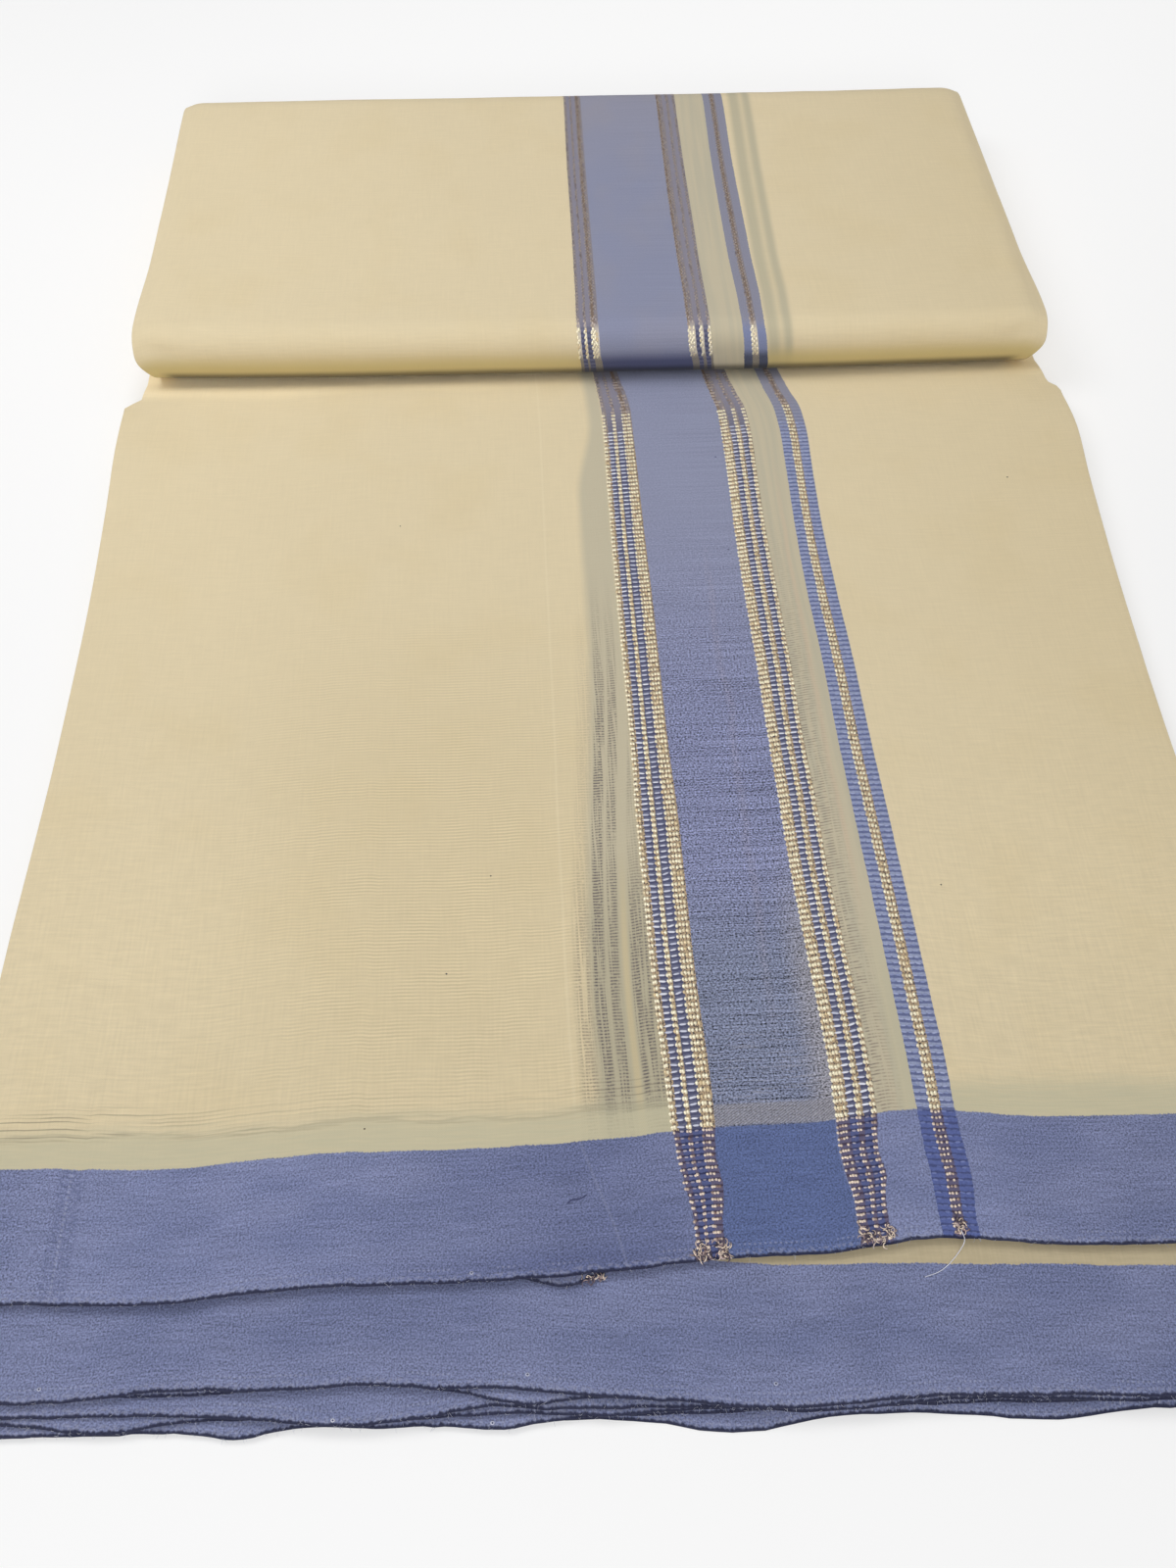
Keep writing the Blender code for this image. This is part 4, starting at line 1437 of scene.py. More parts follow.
@dataclass
class RollShell(Shell):
    """The roll's skin, along the roll's outer line."""

    name: str = "roll_cloth"
    node: str = "roll_skin"
    flat: tuple[float, float] = (0.510, 0.418)
    rests_on: tuple[str, ...] = ("roll_layers", "top_leaf")
    columns: int = 190
    fold: SideFold = SideFold(0.00075, 0.0090)
    stripes: StripePath = StripePath(ROLL_STRIPES)
    start_along: float = 0.600       # cloth coordinate of the near turn's front
    line: Array = field(init=False)
    along: Array = field(init=False)

    def __post_init__(self) -> None:
        """Work out the outer line and the cloth's length along it, from the near turn's front."""
        self.line = Roll.outer_line()
        length = lengths(self.line)
        self.along = length[np.argmin(self.line[:, 0])] - length

    def relief(self, x: Array, along: Array, z: Array) -> Array:
        """Creases and uneven hills, which fade out where the roll lies on the floor or the bundle.

        Args:
            x, along, z: places on the straight skin.

        Returns:
            How far each stands out.
        """
        rise = sum((crease.height(x, along) for crease in ROLL_CREASES), np.zeros_like(x))
        for height, cell_x, cell_y, seed in ROLL_HILLS:
            rise = rise + height * hills(x, along, cell_x, cell_y, seed)
        return rise * step(z, *ROLL_FREE)

    def place_on_line(self, x: Array, along: Array, sink: Array) -> Array:
        """Points at x and a length along the line, pushed in square to it.

        Args:
            x, along: places on the straight skin.
            sink: how far each lies below the outer face.

        Returns:
            The points of the real skin.
        """
        rows = np.concatenate([self.line, Roll.inside_normals(self.line)], axis=1)[::-1].T
        y, z, inside_y, inside_z = (np.interp(along, self.along[::-1], row) for row in rows)
        sink = sink - self.relief(x, along, z)
        return Roll.bend(x, y + sink * inside_y, z + sink * inside_z)

    def place(self, u: Array, v: Array) -> Array:
        """Points of the outer face with given cloth coordinates."""
        along = v - self.start_along
        return self.place_on_line(self.stripes.to_x(u, along), along, np.zeros_like(along))

    def surface(self) -> tuple[Array, Array]:
        """Work out the skin's outer face.

        Rows run along the outer line. Columns run across, round the two side folds and back inside.

        Returns:
            (rows, columns, 3) points and (rows, columns, 2) cloth coordinates.
        """
        share, dx, dz, past = self.fold.stations(self.columns)
        half = HALF_WIDTH - self.fold.radius
        inner, along = np.meshgrid(-half + 2 * half * share, self.along)
        points = self.place_on_line(inner, along, dz)
        points[..., 0] += dx
        across = self.stripes.to_cloth(inner, along) + past
        return points, np.stack([across, along + self.start_along], axis=-1)


@dataclass(frozen=True)
class FoldSection:
    """Cross-section of one folded edge: two plies that run out and turn into each other."""

    wall: float = 0.40           # share of the half height that a ply takes
    steps: int = 6

    def outline(self, half: Array, reach: float) -> tuple[Array, Array]:
        """Closed outline at each station of a folded edge.

        The outer face runs from its upper tail round the crest to its lower tail, and the inner face
        comes back.

        Args:
            half: (n,) half the fold's height at each station.
            reach: how far the tails lie behind the crest.

        Returns:
            (n, points) places out from the crest, and (n, points) places up from its middle.
        """
        angle = np.linspace(np.pi / 2, -np.pi / 2, self.steps + 1)
        outer_out = np.concatenate([[0.0], np.cos(angle), [0.0]])
        outer_up = np.concatenate([[1.0], np.sin(angle), [-1.0]])
        hollow = 1.0 - self.wall
        h = half[:, None]
        out = np.concatenate([outer_out, outer_out[::-1] * hollow])[None, :] * h - h
        up = np.concatenate([outer_up, outer_up[::-1] * hollow])[None, :] * h
        tails = [0, self.steps + 2, self.steps + 3, 2 * self.steps + 5]
        out[:, tails] = -reach
        return out, up


class FoldedEdges:
    """Edges of hidden leaves as thin folded ribbons, joined in one mesh."""

    def __init__(self) -> None:
        """Start with nothing."""
        self.points: list[Array] = []
        self.uv: list[Array] = []
        self.faces: list[Array] = []
        self.count = 0

    def add(self, centre: Array, up: Array, half: Array, reach: float, side: int, uv_start: float) -> None:
        """Add one ribbon, closed at both ends.

        Args:
            centre: (n, 3) the crest's path, at the middle of the fold's height.
            up: (n, 3) direction across the plies.
            half: (n,) half the fold's height.
            reach: how far the plies run in from the crest.
            side: -1 on the left and 1 on the right, the way the crest faces.
            uv_start: cloth coordinate of the path's start.
        """
        out, rise = FoldSection().outline(half, reach)
        away = np.array([float(side), 0.0, 0.0])
        points = centre[:, None, :] + out[..., None] * away + rise[..., None] * up[:, None, :]
        rows, columns = points.shape[:2]
        along = np.broadcast_to(uv_start + lengths(centre)[:, None], out.shape)
        uv = np.stack([side * (0.25 + out), along], axis=-1)
        walls = grid_faces(rows, columns, flip=side < 0, ring=True)
        i = np.arange(columns // 2 - 1)
        cap = np.stack([i, i + 1, columns - 2 - i, columns - 1 - i], axis=1)
        far_cap = cap + (rows - 1) * columns
        ends = [cap, far_cap[:, ::-1]] if side > 0 else [cap[:, ::-1], far_cap]
        self.points.append(points.reshape(-1, 3))
        self.uv.append(uv.reshape(-1, 2))
        self.faces.append(np.concatenate([walls, *ends]) + self.count)
        self.count += rows * columns

    def build(self, name: str, material: bpy.types.Material) -> bpy.types.Object:
        """Make the piece."""
        return new_piece(name, np.concatenate(self.points), [np.concatenate(self.faces)],
                         np.concatenate(self.uv), material)


class HiddenFolds:
    """Hidden layers of the cloth, which show only as folded edges."""

    name: str
    node: str
    flat: tuple[float, float]
    below: str

    def edges(self) -> FoldedEdges:
        """The ribbons of all the folded edges."""
        raise NotImplementedError

    def build(self, material: bpy.types.Material) -> bpy.types.Object:
        """Make the piece, which stands for its node, and hide that node.

        Args:
            material: its cotton.

        Returns:
            The piece.
        """
        piece = self.edges().build(self.name, material)
        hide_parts(self.node)
        return piece


@dataclass(frozen=True)
class BundleSides(HiddenFolds):
    """Side folds of the hidden leaves, from the short leaves back to below the roll."""

    name: str = "hidden_leaf_folds"
    node: str = "pressed_leaves"
    flat: tuple[float, float] = (0.720, 0.562)
    below: str = "bottom_leaf"
    far: float = 0.300
    stride: float = 0.0030           # from one station along a fold to the next
    reach: float = 0.030             # how far the plies run in from the crest
    fullness: float = 0.44           # half a fold's height, as a share of its room
    fade: float = 0.03               # length over which the folds draw in behind the short leaves
    inset: float = 0.0012
    unevenness: tuple[Ripple, ...] = ((0.0010, 0.034, 60), (0.0004, 0.009, 80))
    sag: Ripple = (0.25, 0.05, 90)   # up and down, as a share of half a fold's height
    cloth_start: float = 0.10        # cloth coordinate of the near end

    def edges(self) -> FoldedEdges:
        """Lay six folds on each other at each side.

        In front of the roll their heights follow the bundle. Under it they are pressed together to a
        wedge.

        Returns:
            The ribbons.
        """
        edges = FoldedEdges()
        y = np.arange(CORE_NEAR, self.far, self.stride)
        upright = np.tile([0.0, 0.0, 1.0], (len(y), 1))
        top = np.where(y > TUCK_END + SEAM, Roll.floor(y) - SEAM, 7 * PITCH + BUNDLE.puff(y) - SEAM)
        room = (top - PITCH) / len(SHORT_LEAVES)
        fade = ease((y - CORE_NEAR) / self.fade)
        for side in (-1, 1):
            for leaf in SHORT_LEAVES:
                drawn_in = self.inset + ripples(y, self.unevenness, leaf.level * 2 + side)
                x = BUNDLE.sides(y, leaf.left_out, leaf.right_out)[max(side, 0)] - side * fade * drawn_in
                half = self.fullness * room
                z = PITCH + room * (leaf.level - 0.5)
                z = z + half * fade * ripples(y, [self.sag], leaf.level)
                edges.add(np.stack([x, y, z], axis=1), upright, half, self.reach, side,
                          self.cloth_start)
        return edges


@dataclass(frozen=True)
class RollEnds(HiddenFolds):
    """The rolled layers seen at the roll's two ends: one folded edge wound up to the middle."""

    name: str = "rolled_leaf_folds"
    node: str = "roll_layers"
    flat: tuple[float, float] = (0.064, 4.400)
    below: str = "hidden_leaf_folds"
    windings: int = 11
    points_round: int = 84
    wound: float = 0.94              # share of the way to the middle line that the windings fill
    reach: float = 0.016
    fullness: float = 0.43           # half a fold's height, as a share of the step between turns
    inset: float = 0.0034
    wander: Ripple = (0.22, 0.31, 110)                   # of the path, as a share of that step
    slow_unevenness: Ripple = (0.0013, 0.5, 120)
    slow_stretch: float = 1.7
    fine_unevenness: Ripple = (0.0005, 0.035, 130)
    cloth_start: float = 0.6

    def ring_line(self) -> tuple[Array, Array]:
        """Outer line of the rolled layers and the middle line they close on, point for point."""
        skin = Roll.outer_line()
        outer = skin + PITCH * Roll.inside_normals(skin)
        y = np.linspace(TUCK_END + 0.002, BOTTOM_END, 10)
        closed = np.concatenate([outer[:-1], np.stack([y, Roll.floor(y)], axis=1), outer[:1]])
        length = lengths(closed)
        at = np.linspace(0.0, length[-1], self.points_round, endpoint=False)
        ring = np.stack([np.interp(at, length, closed[:, i]) for i in (0, 1)], axis=1)
        middle_y = np.clip(ring[:, 0], NOSE_FRONT + NOSE_RADIUS, ROLL_FAR - FAR_RADIUS)
        middle_z = (ROLL_HEIGHT - PITCH + np.interp(middle_y, y, Roll.floor(y))) / 2
        return ring, np.stack([middle_y, middle_z], axis=1)

    def edges(self) -> FoldedEdges:
        """Wind one folded edge up at each end.

        Its path is a spiral: it goes round the ring again and again, each time a little nearer to the
        middle line. Its half height is half the step from one turn to the next.

        Returns:
            The ribbons.
        """
        edges = FoldedEdges()
        ring, middle = self.ring_line()
        count = self.windings * self.points_round
        turn, spot = np.arange(count) / self.points_round, np.arange(count) % self.points_round
        stride = self.wound / self.windings
        share = stride * (turn * (1 - 0.5 / self.windings) + 0.45) + stride * ripples(turn, [self.wander])
        to_middle = middle[spot] - ring[spot]
        line = ring[spot] + to_middle * share[:, None]
        half = self.fullness * stride * np.linalg.norm(to_middle, axis=1)
        normal = np.gradient(line, axis=0)
        normal /= np.maximum(np.linalg.norm(normal, axis=1, keepdims=True), 1e-9)
        up = np.stack([np.zeros(count), -normal[:, 1], normal[:, 0]], axis=1)
        for side in (-1, 1):
            out = ripples(turn * self.slow_stretch, [self.slow_unevenness], side)
            out = out + ripples(turn, [self.fine_unevenness], side)
            centre = Roll.bend(side * (HALF_WIDTH - self.inset + out), line[:, 0], line[:, 1])
            edges.add(centre, up, half, self.reach, side, self.cloth_start)
        return edges


# ---- floats and loose threads


SMALL_STEP = 0.0004              # between the points that show how a surface lies at a place
CLEAR_OF_FLOOR = 0.002           # no float is set on cloth that lies lower than this
JITTER = 0.00010                 # how far a float strays from its rung and lane
SLANT_JITTER = 0.10
SIZE_RANGE = (0.88, 1.12)


@dataclass(frozen=True)
class Float:
    """One raised float of thread: a low closed dome, longer one way than the other."""

    half_across: float
    half_along: float
    rise: float
    sides: int = 6

    def template(self) -> tuple[Array, list[Array]]:
        """Points and faces of one dome: a rim, a shoulder and a top, closed below by its rim."""
        angle = np.linspace(0.0, 2 * np.pi, self.sides, endpoint=False)
        ring = np.stack([np.cos(angle), np.sin(angle)], axis=1)
        rim = np.column_stack([ring, np.full(self.sides, -0.25)])
        shoulder = np.column_stack([ring * 0.66, np.full(self.sides, 0.72)])
        points = np.concatenate([rim, shoulder, [[0.0, 0.0, 1.0]]])
        points *= np.array([self.half_across, self.half_along, self.rise])
        i = np.arange(self.sides)
        k = (i + 1) % self.sides
        quads = np.stack([i, k, k + self.sides, i + self.sides], axis=1)
        caps = np.stack([i + self.sides, k + self.sides, np.full(self.sides, 2 * self.sides)], axis=1)
        base = i[::-1][None, :]
        return points, [quads, caps, base]


def scatter(name: str, shape: Float, place: Placing, u: Array, v: Array, turn: Array, size: Array,
            material: bpy.types.Material) -> bpy.types.Object:
    """Join many copies of a float on a cloth surface.

    Each copy stands in the surface's own directions at its place: across, along and outwards, found
    from three points of the surface a little apart.

    Args:
        name: the piece's name.
        shape: the float.
        place: gives points for cloth coordinates.
        u, v: cloth coordinates of the copies, in metres.
        turn: angle of each copy on the cloth.
        size: size of each copy, 1 as designed.
        material: their finish.

    Returns:
        The joined piece.
    """
    here = place(u, v)
    across = place(u + SMALL_STEP, v) - here
    along = place(u, v + SMALL_STEP) - here
    out = np.cross(across, along)
    out /= np.linalg.norm(out, axis=1, keepdims=True)
    across /= np.linalg.norm(across, axis=1, keepdims=True)
    along = np.cross(out, across)
    template, faces = shape.template()
    cos, sin = np.cos(turn)[:, None], np.sin(turn)[:, None]
    x, y, z = template.T
    own = np.stack([x * cos - y * sin, x * sin + y * cos, np.broadcast_to(z, (len(u), len(z)))], axis=-1)
    own = own * size[:, None, None]
    points = here[:, None, :] + sum(own[..., i, None] * way[:, None, :]
                                    for i, way in enumerate((across, along, out)))
    shift = np.arange(len(u))[:, None, None] * len(template)
    joined = [(part[None, :, :] + shift).reshape(-1, part.shape[1]) for part in faces]
    uv = np.repeat(np.stack([u, v], axis=1), len(template), axis=0)
    return new_piece(name, points.reshape(-1, 3), joined, uv, material)


@dataclass(frozen=True)
class Run:
    """A stretch along the cloth where floats repeat, in metres of cloth coordinate."""

    start: float
    stop: float
    pitch: float


@dataclass(frozen=True)
class FloatLanes:
    """Lanes of floats along the stripes' columns of one kind, on one surface."""

    name: str
    finish: Finish
    kind: Kind
    shape: Float
    run: Run
    slant: float
    seed: int
    missing: float = 0.0
    wander: float = 0.0
    staggered: bool = False
    on_roll: bool = False

    def spots(self) -> tuple[Array, Array, Array]:
        """Cloth coordinates and slants of the floats.

        A float stands on every rung of every lane. Every second lane slants the other way, and is
        half a rung late where the lanes are staggered.

        Returns:
            Across, along and slant of each float.
        """
        chance = np.random.default_rng(self.seed)
        rungs = np.arange(self.run.start + self.run.pitch / 2, self.run.stop, self.run.pitch)[None, :]
        lanes = np.array([lane * MM for column in COLUMNS if column.kind is self.kind
                          for lane in column.lanes])[:, None]
        odd = np.arange(len(lanes))[:, None] % 2
        shape = (len(lanes), rungs.size)
        across = lanes + chance.normal(0.0, JITTER, shape)
        across = across + self.wander * hills(lanes, rungs, 0.0050, 0.0060, self.seed)
        late = 0.5 * self.run.pitch * odd * self.staggered
        along = rungs + late + chance.normal(0.0, JITTER, shape)
        slant = self.slant * (2 * odd - 1) + chance.normal(0.0, SLANT_JITTER, shape)
        kept = chance.uniform(size=shape) >= self.missing
        return across[kept], along[kept], slant[kept]

    def build(self, place: Placing, material: bpy.types.Material) -> bpy.types.Object:
        """Make the joined floats.

        Args:
            place: gives the surface's points for cloth coordinates.
            material: their finish.

        Returns:
            The piece.
        """
        u, v, turn = self.spots()
        size = np.random.default_rng(self.seed + 1).uniform(*SIZE_RANGE, len(u))
        clear = place(u, v)[:, 2] > CLEAR_OF_FLOOR
        return scatter(self.name, self.shape, place, u[clear], v[clear], turn[clear], size[clear], material)


RUNG = FIELD_PITCH * MM
PRESSED_FROM = 0.428             # metres along the top leaf from which its threads are pressed flat
FIELD = Run(BORDER * MM, PRESSED_FROM, RUNG)
RAISED = Run(BORDER * MM, PRESSED_FROM - 0.014, RUNG)
PRESSED = Run(PRESSED_FROM, PRESSED_FROM + 0.034, RUNG)
NOSE = Run(0.600, 0.617, RUNG)
ROLL_TOP = Run(0.617, 0.905, RUNG)
CROSSING = Run(0.0010, BORDER * MM, BORDER_PITCH * MM)
GOLD = Float(0.00074, 0.00107, 0.00022)
LANES = (
    FloatLanes("sheet_zari_floats", Finish.ZARI, Kind.ZARI, GOLD, FIELD, 0.07, 5),
    FloatLanes("sheet_ladder_rungs", Finish.PALE, Kind.LADDER, Float(0.00178, 0.00054, 0.00018), RAISED,
               0.03, 15),
    FloatLanes("sheet_rib_floats", Finish.RIB, Kind.RIB, Float(0.00128, 0.00050, 0.00018), RAISED,
               0.03, 25),
    FloatLanes("tarnished_zari_floats", Finish.WORN, Kind.ZARI, GOLD, PRESSED, 0.10, 26, 0.25),
    FloatLanes("nose_zari_floats", Finish.ZARI, Kind.ZARI, Float(0.00064, 0.00122, 0.00022), NOSE,
               0.14, 65, 0.08, staggered=True, on_roll=True),
    FloatLanes("roll_zari_floats", Finish.WORN, Kind.ZARI, Float(0.00050, 0.00116, 0.00007), ROLL_TOP,
               0.14, 66, 0.15, staggered=True, on_roll=True),
    FloatLanes("border_zari_floats", Finish.PINK, Kind.ZARI, Float(0.00066, 0.00066, 0.00024), CROSSING,
               0.16, 35, 0.10, 0.0005),
    FloatLanes("border_ladder_floats", Finish.MAUVE, Kind.LADDER, Float(0.00090, 0.00040, 0.00018),
               CROSSING, 0.05, 45, 0.15, 0.0005),
    FloatLanes("border_rib_floats", Finish.DEEP, Kind.RIB, Float(0.00115, 0.00046, 0.00016), CROSSING,
               0.05, 55, 0.10, 0.0002),
)


def strands(name: str, paths: Array, radius: Array, material: bpy.types.Material,
            sides: int = 4) -> bpy.types.Object:
    """Join thin closed tubes along given paths.

    A tube is a ring of points round each point of its path, square to it, and a little smaller towards
    its end.

    Args:
        name: the piece's name.
        paths: (n, steps, 3) middle lines, one for each strand.
        radius: (n,) radius of each strand.
        material: its finish.
        sides: sides of a tube.

    Returns:
        The joined piece.
    """
    count, steps = paths.shape[:2]
    along = np.gradient(paths, axis=1)
    along /= np.maximum(np.linalg.norm(along, axis=2, keepdims=True), 1e-12)
    first = np.cross(along, np.array([0.13, 0.21, 0.97]))
    first /= np.maximum(np.linalg.norm(first, axis=2, keepdims=True), 1e-12)
    second = np.cross(along, first)
    angle = np.linspace(0.0, 2 * np.pi, sides, endpoint=False)
    ring = np.cos(angle)[:, None] * first[:, :, None, :] + np.sin(angle)[:, None] * second[:, :, None, :]
    taper = 1.0 - 0.35 * np.linspace(0.0, 1.0, steps) ** 3
    points = paths[:, :, None, :] + ring * (radius[:, None] * taper)[..., None, None]
    shift = (np.arange(count) * steps * sides)[:, None, None]
    walls = (grid_faces(steps, sides, ring=True) + shift).reshape(-1, 4)
    start = (np.arange(sides)[::-1] + shift).reshape(-1, sides)
    end = (np.arange(sides) + (steps - 1) * sides + shift).reshape(-1, sides)
    uv = np.repeat(paths[:, 0, :2], steps * sides, axis=0)
    return new_piece(name, points.reshape(-1, 3), [walls, start, end], uv, material)


@dataclass(frozen=True)
class Tuft:
    """A tangle of short thread ends at the border: its middle, half widths and number of threads."""

    x: float
    y: float
    half_x: float
    half_y: float
    threads: int


TUFTS = (
    Tuft(0.0128, -0.3205, 0.0030, 0.0026, 30), Tuft(0.0205, -0.3200, 0.0022, 0.0032, 30),
    Tuft(0.0712, -0.3170, 0.0016, 0.0030, 16), Tuft(0.0760, -0.3190, 0.0022, 0.0016, 18),
    Tuft(0.0806, -0.3165, 0.0014, 0.0020, 12), Tuft(0.1062, -0.3155, 0.0022, 0.0020, 20),
)
LOW_TUFTS = (Tuft(-0.0260, -0.3268, 0.0052, 0.0006, 18),)
TUFT_SHARES = (                  # finish, and its share of the threads
    (Finish.DARK, 0.5), (Finish.LIGHT, 0.3), (Finish.PINK, 0.6))


@dataclass(frozen=True)
class StrayThread:
    """A loose thread that lies on the cloth: the places that it passes, and its radius."""

    name: str
    finish: Finish
    places: tuple[tuple[float, float], ...]
    radius: float


STRAY_THREADS = (
    StrayThread("loose_blue_thread", Finish.NAVY, (
        (-0.0338, -0.3012), (-0.0318, -0.3001), (-0.0292, -0.2999), (-0.0266, -0.2986)), 0.00022),
    StrayThread("loose_pale_thread", Finish.PALE, (
        (0.1055, -0.3170), (0.1060, -0.3215), (0.1020, -0.3262), (0.0965, -0.3300), (0.0905, -0.3318)),
        0.00015),
)
SPECKS = (                       # name, finish, shape, then x and y on the top leaf
    ("brown_specks", Finish.SPECK, Float(0.00045, 0.00040, 0.00015),
     ((-0.103, 0.030), (-0.060, -0.167), (0.127, -0.180), (-0.078, -0.210), (0.208, 0.050),
      (-0.1076, -0.2706))),
    ("blue_knots", Finish.NAVY, Float(0.00075, 0.00030, 0.00030),
     ((0.059, 0.070), (0.059, 0.008), (0.061, -0.028))),
)
PIN_PARTS = (                    # end of the name, shape and finish
    ("_pin_rims", Float(0.00085, 0.00070, 0.00012, 8), Finish.LINT),
    ("_pin_holes", Float(0.00045, 0.00040, 0.00020, 8), Finish.NAVY),
)
PIN_HOLES = {                    # for each leaf, x and the distance in from its edge
    TOP.node: ((-0.0680, 0.0030),),
    THIRD.node: ((-0.2125, 0.0045), (-0.0495, 0.0050), (0.0336, 0.0075)),
    FOURTH.node: ((0.1357, 0.0022),),
    FIFTH.node: ((-0.1145, 0.0018),),
    SEVENTH.node: ((-0.1890, 0.0015), (-0.0618, 0.0020)),
}

TOP_HAIRS = 110                  # hairs of lint at the top leaf's edge
LEAF_HAIRS = 150                 # and at that of each short leaf
LINT_SPAN = (-0.250, 0.242)      # x between which hairs stand out of an edge
LINT_RADIUS = 0.00005
TUFT_RADII = (0.00016, 0.00030)
TUFT_LENGTHS = (0.0016, 0.0034)
LINT_LENGTHS = (0.0005, 0.0019)
HAIR_LIFTS = (0.0001, 0.0006)
LYING = 0.00015                  # height of a hair's middle line over the cloth that it lies on


@dataclass(frozen=True)
class ThreadEnds:
    """Curled thread ends in tufts, and lint along a leaf's edge, all lying on a leaf."""

    sheet: LeafShell

    def _curls(self, chance: np.random.Generator, start: Array, heading: Array, length: Array, bend: Array,
               steps: int) -> Array:
        """Middle lines that start level and turn steadily.

        Args:
            chance: source of the small lifts.
            start: (n, 2) places in X and Y.
            heading, length, bend: each strand's first direction, its length and its whole turn.
            steps: points on each line.

        Returns:
            (n, steps, 3) points, laid on the leaf and let down past its edge.
        """
        t = np.linspace(0.0, 1.0, steps)[None, :]
        angle = heading[:, None] + bend[:, None] * t
        stride = np.where(t > 0, (length / (steps - 1))[:, None], 0.0)
        x = start[:, :1] + np.cumsum(np.cos(angle) * stride, axis=1)
        y = start[:, 1:] + np.cumsum(np.sin(angle) * stride, axis=1)
        edge = self.sheet.edge(x)
        lift = chance.uniform(*HAIR_LIFTS, len(start))[:, None] * np.sin(np.pi * t)
        z = self.sheet.height(x, np.maximum(y, edge)) + LYING + lift - 0.35 * np.maximum(edge - y, 0.0)
        return np.stack([x, y, z], axis=-1)

    def tufts(self, tufts: Sequence[Tuft], chance: np.random.Generator, share: float) -> Array:
        """Middle lines of threads in tufts, each curled up inside its tuft.

        Args:
            tufts: the tufts.
            chance: source of their places, lengths and turns.
            share: part of each tuft's threads that is wanted.

        Returns:
            (n, steps, 3) points.
        """
        count = [max(1, int(tuft.threads * share)) for tuft in tufts]
        middle = np.repeat([[tuft.x, tuft.y] for tuft in tufts], count, axis=0)
        half = np.repeat([[tuft.half_x, tuft.half_y] for tuft in tufts], count, axis=0)
        total = len(middle)
        start = middle + half * chance.uniform(-0.9, 0.9, (total, 2))
        heading = chance.uniform(0.0, 2 * np.pi, total)
        length = chance.uniform(*TUFT_LENGTHS, total)
        turn = chance.uniform(1.0, 3.4, total) * chance.choice([-1.0, 1.0], total)
        return self._curls(chance, start, heading, length, turn, 12)

    def laid(self, thread: StrayThread, below: LeafShell) -> Array:
        """Middle line of a loose thread: on the leaf, and let down on the one below past its edge.

        Args:
            thread: the thread, drawn as a smooth curve through its places.
            below: the leaf below.

        Returns:
            (steps, 3) points.
        """
        share = np.linspace(0.0, 1.0, 24)
        x, y = through(np.linspace(0.0, 1.0, len(thread.places)), thread.places, share).T
        edge = self.sheet.edge(x)
        on_top = self.sheet.height(x, np.maximum(y, edge)) - 0.9 * np.maximum(edge - y, 0.0)
        return np.stack([x, y, np.maximum(on_top, below.height(x, y)) + thread.radius], axis=-1)

    def lint(self, count: int, chance: np.random.Generator) -> Array:
        """Middle lines of short hairs that stand out of the edge.

        Args:
            count: how many hairs.
            chance: source of their places, lengths and turns.

        Returns:
            (count, steps, 3) points.
        """
        x = chance.uniform(*LINT_SPAN, count)
        start = np.stack([x, self.sheet.edge(x) + 0.0002], axis=1)
        heading = chance.normal(-np.pi / 2, 0.8, count)
        length = chance.uniform(*LINT_LENGTHS, count)
        return self._curls(chance, start, heading, length, chance.normal(0.0, 1.2, count), 4)


# ---- studio


@dataclass(frozen=True)
class Softbox:
    """A soft elliptical light: where it hangs, what it faces, its two widths and its power in watts."""

    name: str
    at: tuple[float, float, float]
    aim: tuple[float, float, float]
    widths: tuple[float, float]
    power: float

    def build(self) -> None:
        """Hang the light."""
        data = bpy.data.lights.new(self.name, "AREA")
        data.shape = "ELLIPSE"
        data.size, data.size_y = self.widths
        data.energy = self.power
        light = bpy.data.objects.new(self.name, data)
        light.location = self.at
        light.rotation_euler = (Vector(self.aim) - Vector(self.at)).to_track_quat("-Z", "Y").to_euler()
        bpy.context.scene.collection.objects.link(light)


